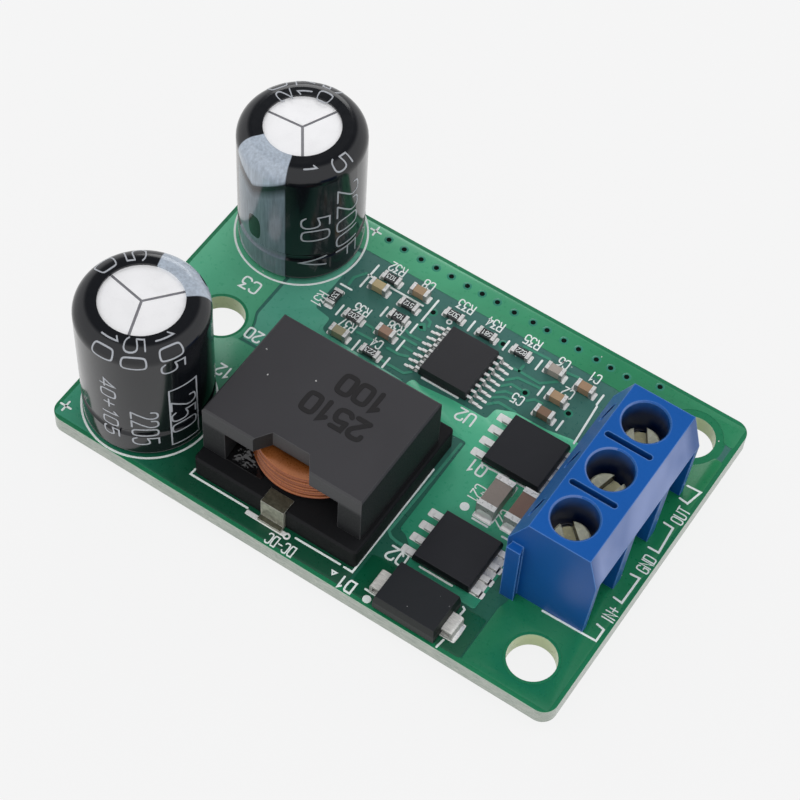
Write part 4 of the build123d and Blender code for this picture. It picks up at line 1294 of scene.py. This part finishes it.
def transistorPads(pads, name):
    middle = middleOf(name)
    for k in range(4):
        y = middle.y + (k - 1.5) * pad["legPitch"]
        roundedPad(pads, middle.x + pad["sourceAt"], y + pad["sourceShift"], pad["sourceLong"],
                   pad["sourceWide"])
        roundedPad(pads, middle.x + pad["drainLegAt"], y, pad["drainLegLong"], pad["drainLegWide"])
    roundedPad(pads, middle.x + pad["drainAt"], middle.y, pad["drainLong"], pad["drainWide"])


def bulkJoints(pads, solder, name):
    middle = middleOf(name)
    for side in (-1, 1):
        roundedPad(pads, middle.x, middle.y + side * pad["bulkReach"], pad["bulkWide"], pad["bulkLong"])
        fillet(solder, middle.x, middle.y + side * pad["bulkHalf"], 90 * side, *pad["bulkSolder"])


# The right lead shows more pad and solder than the left one.
def diodeJoints(pads, solder):
    low, high = boxOf("diode_leads")
    y = (low.y + high.y) / 2
    for side, edge, angle, (long, run) in ((-1, low.x, 180, pad["diodeLeft"]),
                                           (1, high.x, 0, pad["diodeRight"])):
        roundedPad(pads, edge - side * pad["diodeIn"], y, long, pad["diodeWide"])
        fillet(solder, edge - side * pad["diodeSolderIn"], y, angle, pad["diodeSolderWide"], run,
               pad["diodeRise"])


# Each clip of the inductor has a long pad with a small ring of solder on it.
def clipPads(pads):
    low, high = boxOf("inductor_terminals")
    x = (low.x + high.x) / 2 + pad["clipShift"]
    for side, edge in ((-1, low.y), (1, high.y)):
        roundedPad(pads, x, edge - side * pad["clipIn"], pad["clipLong"], pad["clipWide"])
        lathe(pads, pad["blobAt"], edge - side * pad["blobIn"], pad["blob"], pad["blobSteps"])


def makePads():
    pads, solder = bmesh.new(), bmesh.new()
    rng = random.Random(4)
    for k in range(1, 10):
        chipJoints(pads, solder, f"chip_resistor_{k}", pad["resistorRise"], rng)
    for k in range(1, 9):
        chipJoints(pads, solder, f"chip_capacitor_{k}", pad["capacitorRise"], rng)
    controllerPads(pads)
    for k in (1, 2):
        transistorPads(pads, f"transistor_body_{k}")
        bulkJoints(pads, solder, f"bulk_capacitor_body_{k}")
    diodeJoints(pads, solder)
    clipPads(pads)
    addPiece("tinnedPads", pads, tinMaterial)
    addPiece("solderFillets", solder, solderMaterial, limit=50)


makePads()
print("solder made")

# The other face of the board: pads round the joints, a pour, the vias and the lettering.
underside = {
    "padGrow": 0.2,
    "gap": 0.3,
    "inset": 0.5,
    "high": 0.03,
    "silkHigh": 0.05,
    "holeCut": 2.3,
    "pinRing": 0.75,
    "padSteps": 32,
    "words": [("IN+", 37.0, 10.2, 1.3, 90), ("GND", 37.0, 15.2, 1.3, 90), ("OUT", 37.0, 20.2, 1.3, 90),
              ("DC-DC", 23.0, 15.6, 2.2, 0), ("C11", 12.6, 7.6, 1.3, 0), ("C3", 12.6, 24.6, 1.3, 0)],
}


# Middle and radius of each solder cone, from the joined points of its mesh, from left to right.
def jointSpots():
    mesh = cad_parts["solder_joints"].data
    group = list(range(len(mesh.vertices)))

    def root(k):
        while group[k] != k:
            group[k] = group[group[k]]
            k = group[k]
        return k

    byPlace = {}
    for vertex in mesh.vertices:
        key = tuple(round(value * 1e7) for value in vertex.co)
        group[root(vertex.index)] = root(byPlace.setdefault(key, vertex.index))
    for edge in mesh.edges:
        group[root(edge.vertices[0])] = root(edge.vertices[1])
    islands = {}
    for vertex in mesh.vertices:
        islands.setdefault(root(vertex.index), []).append(vertex.co)
    spots = []
    for points in islands.values():
        lowX, highX = min(p.x for p in points), max(p.x for p in points)
        lowY, highY = min(p.y for p in points), max(p.y for p in points)
        x, y = (lowX + highX) / 2 - boardLow.x, (lowY + highY) / 2 - boardLow.y
        spots.append((x * 1000, y * 1000, (highX - lowX) * 500))
    return sorted(spots)


def makeUndersidePads(joints):
    form = bmesh.new()
    for x, y, radius in joints:
        outer = radius + underside["padGrow"]
        profile = [(radius * 0.6, 0.01), (radius * 0.6, -0.02), (outer - 0.03, -0.036),
                   (outer, -0.02), (outer, 0.01)]
        lathe(form, x, y, profile, underside["padSteps"], boardBottom)
    addPiece("undersidePads", form, tinMaterial)


def makeUndersidePour(joints):
    low, right, back = underside["inset"], boardX - underside["inset"], boardY - underside["inset"]
    loops = [([(low, low), (right, low), (right, back), (low, back)], True)]
    for x, y, radius in joints:
        clear = radius + underside["padGrow"] + underside["gap"]
        loops.append((arcLine(x, y, clear, 360, 0, 40)[:-1], False))
    for x, y in (leftHole, frontHole, backHole):
        loops.append((arcLine(x, y, underside["holeCut"], 360, 0)[:-1], False))
    addSheet("undersidePour", loops, -underside["high"], 0.02, pourMaterials["middle"],
             base=boardBottom)


# Words are written from right to left here, to read right from below. Rings mark the block's pins.
def makeUndersideLettering(joints):
    form = bmesh.new()
    high = underside["silkHigh"]
    for text, x, y, size, angle in underside["words"]:
        writeSigns(form, text, x, y, size, angle, silk["wide"],
                   lambda u, v, h, x=x: onUnderside(2 * x - u, v, h), silk["low"], high, slim=silk["slim"])
    for x, y, radius in joints[4:]:
        ring = arcLine(x, y, radius + underside["pinRing"])
        ribbon(form, ring, silk["wide"], onUnderside, silk["low"], high, closed=True)
    addPiece("undersideLettering", form, silkMaterial)


joints = jointSpots()
makeUndersidePads(joints)
makeUndersidePour(joints)
underPour = boardBottom - underside["high"]
makeVias("undersideViaRings", "undersideViaHoles", -1, underPour, underPour)
makeUndersideLettering(joints)
print("underside made")

coil = {"turns": 8, "innerRadius": 3.32, "outerRadius": 5.1, "wireHeight": 0.25, "cornerRound": 0.1,
        "stepsPerTurn": 72, "shiftY": -0.24, "wander": 0.035}


# Flat wire wound on edge, whose outer edge wanders a little from turn to turn.
def makeCoil():
    low, high = boxOf("inductor_coil")
    core = middleOf("inductor_core") + Vector((0, coil["shiftY"], 0))
    form = bmesh.new()
    inner, outer = coil["innerRadius"], coil["outerRadius"]
    tall, soft = coil["wireHeight"], coil["cornerRound"]
    section = [(inner, soft), (inner + soft, 0), (outer - soft, 0), (outer, soft),
               (outer, tall - soft), (outer - soft, tall), (inner + soft, tall), (inner, tall - soft)]
    pitch = (high.z - low.z - tall) / coil["turns"]
    rings = []
    for k in range(coil["turns"] * coil["stepsPerTurn"] + 1):
        angle = 2 * math.pi * k / coil["stepsPerTurn"]
        lift = low.z + pitch * k / coil["stepsPerTurn"]
        wander = coil["wander"] * (math.sin(angle * 0.37 + k * 0.002) - 1)
        ring = []
        for radius, z in section:
            reach = radius + (wander if radius > 4 else 0)
            spot = place(core.x + reach * math.cos(angle), core.y + reach * math.sin(angle), lift + z)
            ring.append(form.verts.new(spot))
        rings.append(ring)
    for a, b in zip(rings, rings[1:]):
        for i in range(8):
            j = (i + 1) % 8
            form.faces.new((a[i], a[j], b[j], b[i]))
    form.faces.new(rings[0][::-1])
    form.faces.new(rings[-1])
    piece = addPiece("woundCoil", form, copperMaterial, limit=60)
    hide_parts("inductor_coil")


resin = {"fromX": 13.6, "toX": 17.9, "fromY": 0.05, "toY": 3.0, "tall": 0.5, "lumps": 0.6, "steps": 72}


# Lumpy dark resin on the base, behind the left of the inductor's front opening.
def makeResin():
    form = bmesh.new()
    base = boxOf("inductor_base")[1].z
    front = boxOf("inductor_core")[0].y
    steps = resin["steps"]
    top, low = [], []
    for i in range(steps + 1):
        for k in range(steps + 1):
            s, t = i / steps, k / steps
            x = resin["fromX"] + (resin["toX"] - resin["fromX"]) * s
            y = front + resin["fromY"] + (resin["toY"] - resin["fromY"]) * t
            mound = math.sin(math.pi * s) ** 2 * math.sin(math.pi * t) ** 2
            broad = 0.4 * noise.noise(Vector((x * 1.3, y * 1.5, 3)))
            fine = 0.22 * noise.noise(Vector((x * 5.5, y * 6.0, 7)))
            high = mound * (resin["tall"] + resin["lumps"] * (broad + fine))
            top.append(form.verts.new(place(x, y, base + max(0.0, high))))
            low.append(form.verts.new(place(x, y, base - 0.02)))
    row = steps + 1
    for i in range(steps):
        for k in range(steps):
            a, b, c, d = i * row + k, (i + 1) * row + k, (i + 1) * row + k + 1, i * row + k + 1
            form.faces.new((top[a], top[b], top[c], top[d]))
            form.faces.new((low[a], low[d], low[c], low[b]))
    rim = list(range(row)) + [i * row + steps for i in range(1, row)]
    rim += [steps * row + k for k in range(steps - 1, -1, -1)]
    rim += [i * row for i in range(steps - 1, 0, -1)]
    for a, b in zip(rim, rim[1:] + rim[:1]):
        form.faces.new((top[a], top[b], low[b], low[a]))
    addPiece("windowResin", form, resinMaterial, limit=60)


makeCoil()
makeResin()
print("coil made")

# Prints on the sleeves, in millimetres and degrees. The sleeve bends over its top edge with
# the radius "bend". Each print: text, azimuth, height above the board, letter height, slimness.
sleevePrint = {
    "bend": 1.3,
    "stroke": 0.15,
    "boxStroke": 0.14,
    "low": -0.005,
    "high": 0.012,
    "step": 0.3,
    "box": {"west": -33, "east": -6, "high": 8.5, "low": 1.2},
    "texts": [
        [("10", -88, 13.5, 1.8, 0.9), ("50", -60, 13.3, 1.9, 0.9), ("105", -27, 12.9, 1.9, 0.85),
         ("5", 133, 14.0, 1.9, 0.9), ("0", 166, 13.9, 1.9, 0.9), ("40+105", -85, 6.0, 1.25, 1.15),
         ("2205", -55, 4.0, 2.0, 0.63), ("250", -20, 4.8, 2.1, 0.78)],
        [("220UF", -11, 6.2, 2.15, 0.98), ("50", -43, 6.9, 2.3, 0.8), ("V", -45, 2.6, 2.2, 0.75),
         ("5", -14, 13.5, 1.8, 0.9), ("1", -47, 13.9, 1.2, 0.9), ("05", 94, 14.1, 1.7, 0.9),
         ("17", 122, 14.1, 1.7, 0.9), ("20", 150, 14.1, 1.7, 0.9), ("22", 60, 7.0, 2.2, 0.9),
         ("220", 178, 7.0, 2.2, 0.9)],
    ],
}
sleeveLow, sleeveHigh = boxOf("capacitor_sleeve_1")
sleeveRadius = (sleeveHigh.x - sleeveLow.x) / 2
printMaterial = finish("sleevePrint", colour=(0.42, 0.44, 0.47), roughness=0.35, grainContrast=0.4,
                       grainBump=0.1)


# Wraps a flat place round a sleeve: u runs round it, v up its wall and over its top edge.
def onSleeve(centre):
    bend = sleevePrint["bend"]
    shoulder = sleeveHigh.z - bend

    def surface(u, v, h):
        radius, z = sleeveRadius + h, v
        if v > shoulder:
            angle = min(math.pi / 2, (v - shoulder) / bend)
            flat = max(0.0, v - shoulder - bend * math.pi / 2)
            radius = sleeveRadius - bend + (bend + h) * math.cos(angle) - flat
            z = shoulder + (bend + h) * math.sin(angle)
        azimuth = u / sleeveRadius
        return place(centre.x + radius * math.cos(azimuth), centre.y + radius * math.sin(azimuth), z)
    return surface


def aroundSleeve(degrees):
    return math.radians(degrees) * sleeveRadius


def makeSleevePrint(name, centre, texts, boxed):
    form = bmesh.new()
    surface = onSleeve(centre)
    low, high = sleevePrint["low"], sleevePrint["high"]
    for text, azimuth, z, size, slim in texts:
        writeSigns(form, text, aroundSleeve(azimuth), boardTop + z, size, -90, sleevePrint["stroke"],
                   surface, low, high, slim=slim, step=sleevePrint["step"])
    if boxed:
        box = sleevePrint["box"]
        west, east = aroundSleeve(box["west"]), aroundSleeve(box["east"])
        top, base = boardTop + box["high"], boardTop + box["low"]
        corners = [(west, top), (east, top), (east, base), (west, base), (west, top)]
        line = finerLine([Vector(corner) for corner in corners], sleevePrint["step"])
        ribbon(form, line, sleevePrint["boxStroke"], surface, low, high, closed=True)
    addPiece(name, form, printMaterial)


for k, (spot, texts) in enumerate(zip(canSpots, sleevePrint["texts"]), 1):
    makeSleevePrint(f"sleevePrint{k}", spot, texts, boxed=k == 1)

# Each line on the core: text, middle and height. Every resistor has its code.
corePrint = {"lines": [("100", 21.6, 11.4, 1.7), ("2510", 21.0, 8.6, 1.7)], "stroke": 0.42, "slim": 0.95,
             "low": -0.01, "high": 0.012}
resistorPrint = {"codes": ["103", "331", "202", "512", "104", "223", "302", "681", "822"],
                 "height": 0.42, "stroke": 0.055, "slim": 0.8, "low": -0.005, "high": 0.006}


def onLevel(level):
    return lambda u, v, h: place(u, v, level + h)


def makeCorePrint():
    form = bmesh.new()
    surface = onLevel(boxOf("inductor_core")[1].z)
    for text, x, y, height in corePrint["lines"]:
        writeSigns(form, text, x, y, height, 180, corePrint["stroke"], surface, corePrint["low"],
                   corePrint["high"], slim=corePrint["slim"])
    addPiece("inductorPrint", form, inkMaterial)


def makeResistorCodes():
    form = bmesh.new()
    for k, code in enumerate(resistorPrint["codes"], 1):
        low, high = boxOf(f"chip_resistor_{k}")
        across = (high.y - low.y) > (high.x - low.x)
        writeSigns(form, code, (low.x + high.x) / 2, (low.y + high.y) / 2, resistorPrint["height"],
                   -90 if across else 180, resistorPrint["stroke"], onLevel(high.z),
                   resistorPrint["low"], resistorPrint["high"], slim=resistorPrint["slim"])
    addPiece("resistorCodes", form, silkMaterial)


makeCorePrint()
makeResistorCodes()
print("prints made")

bpy.context.view_layer.update()
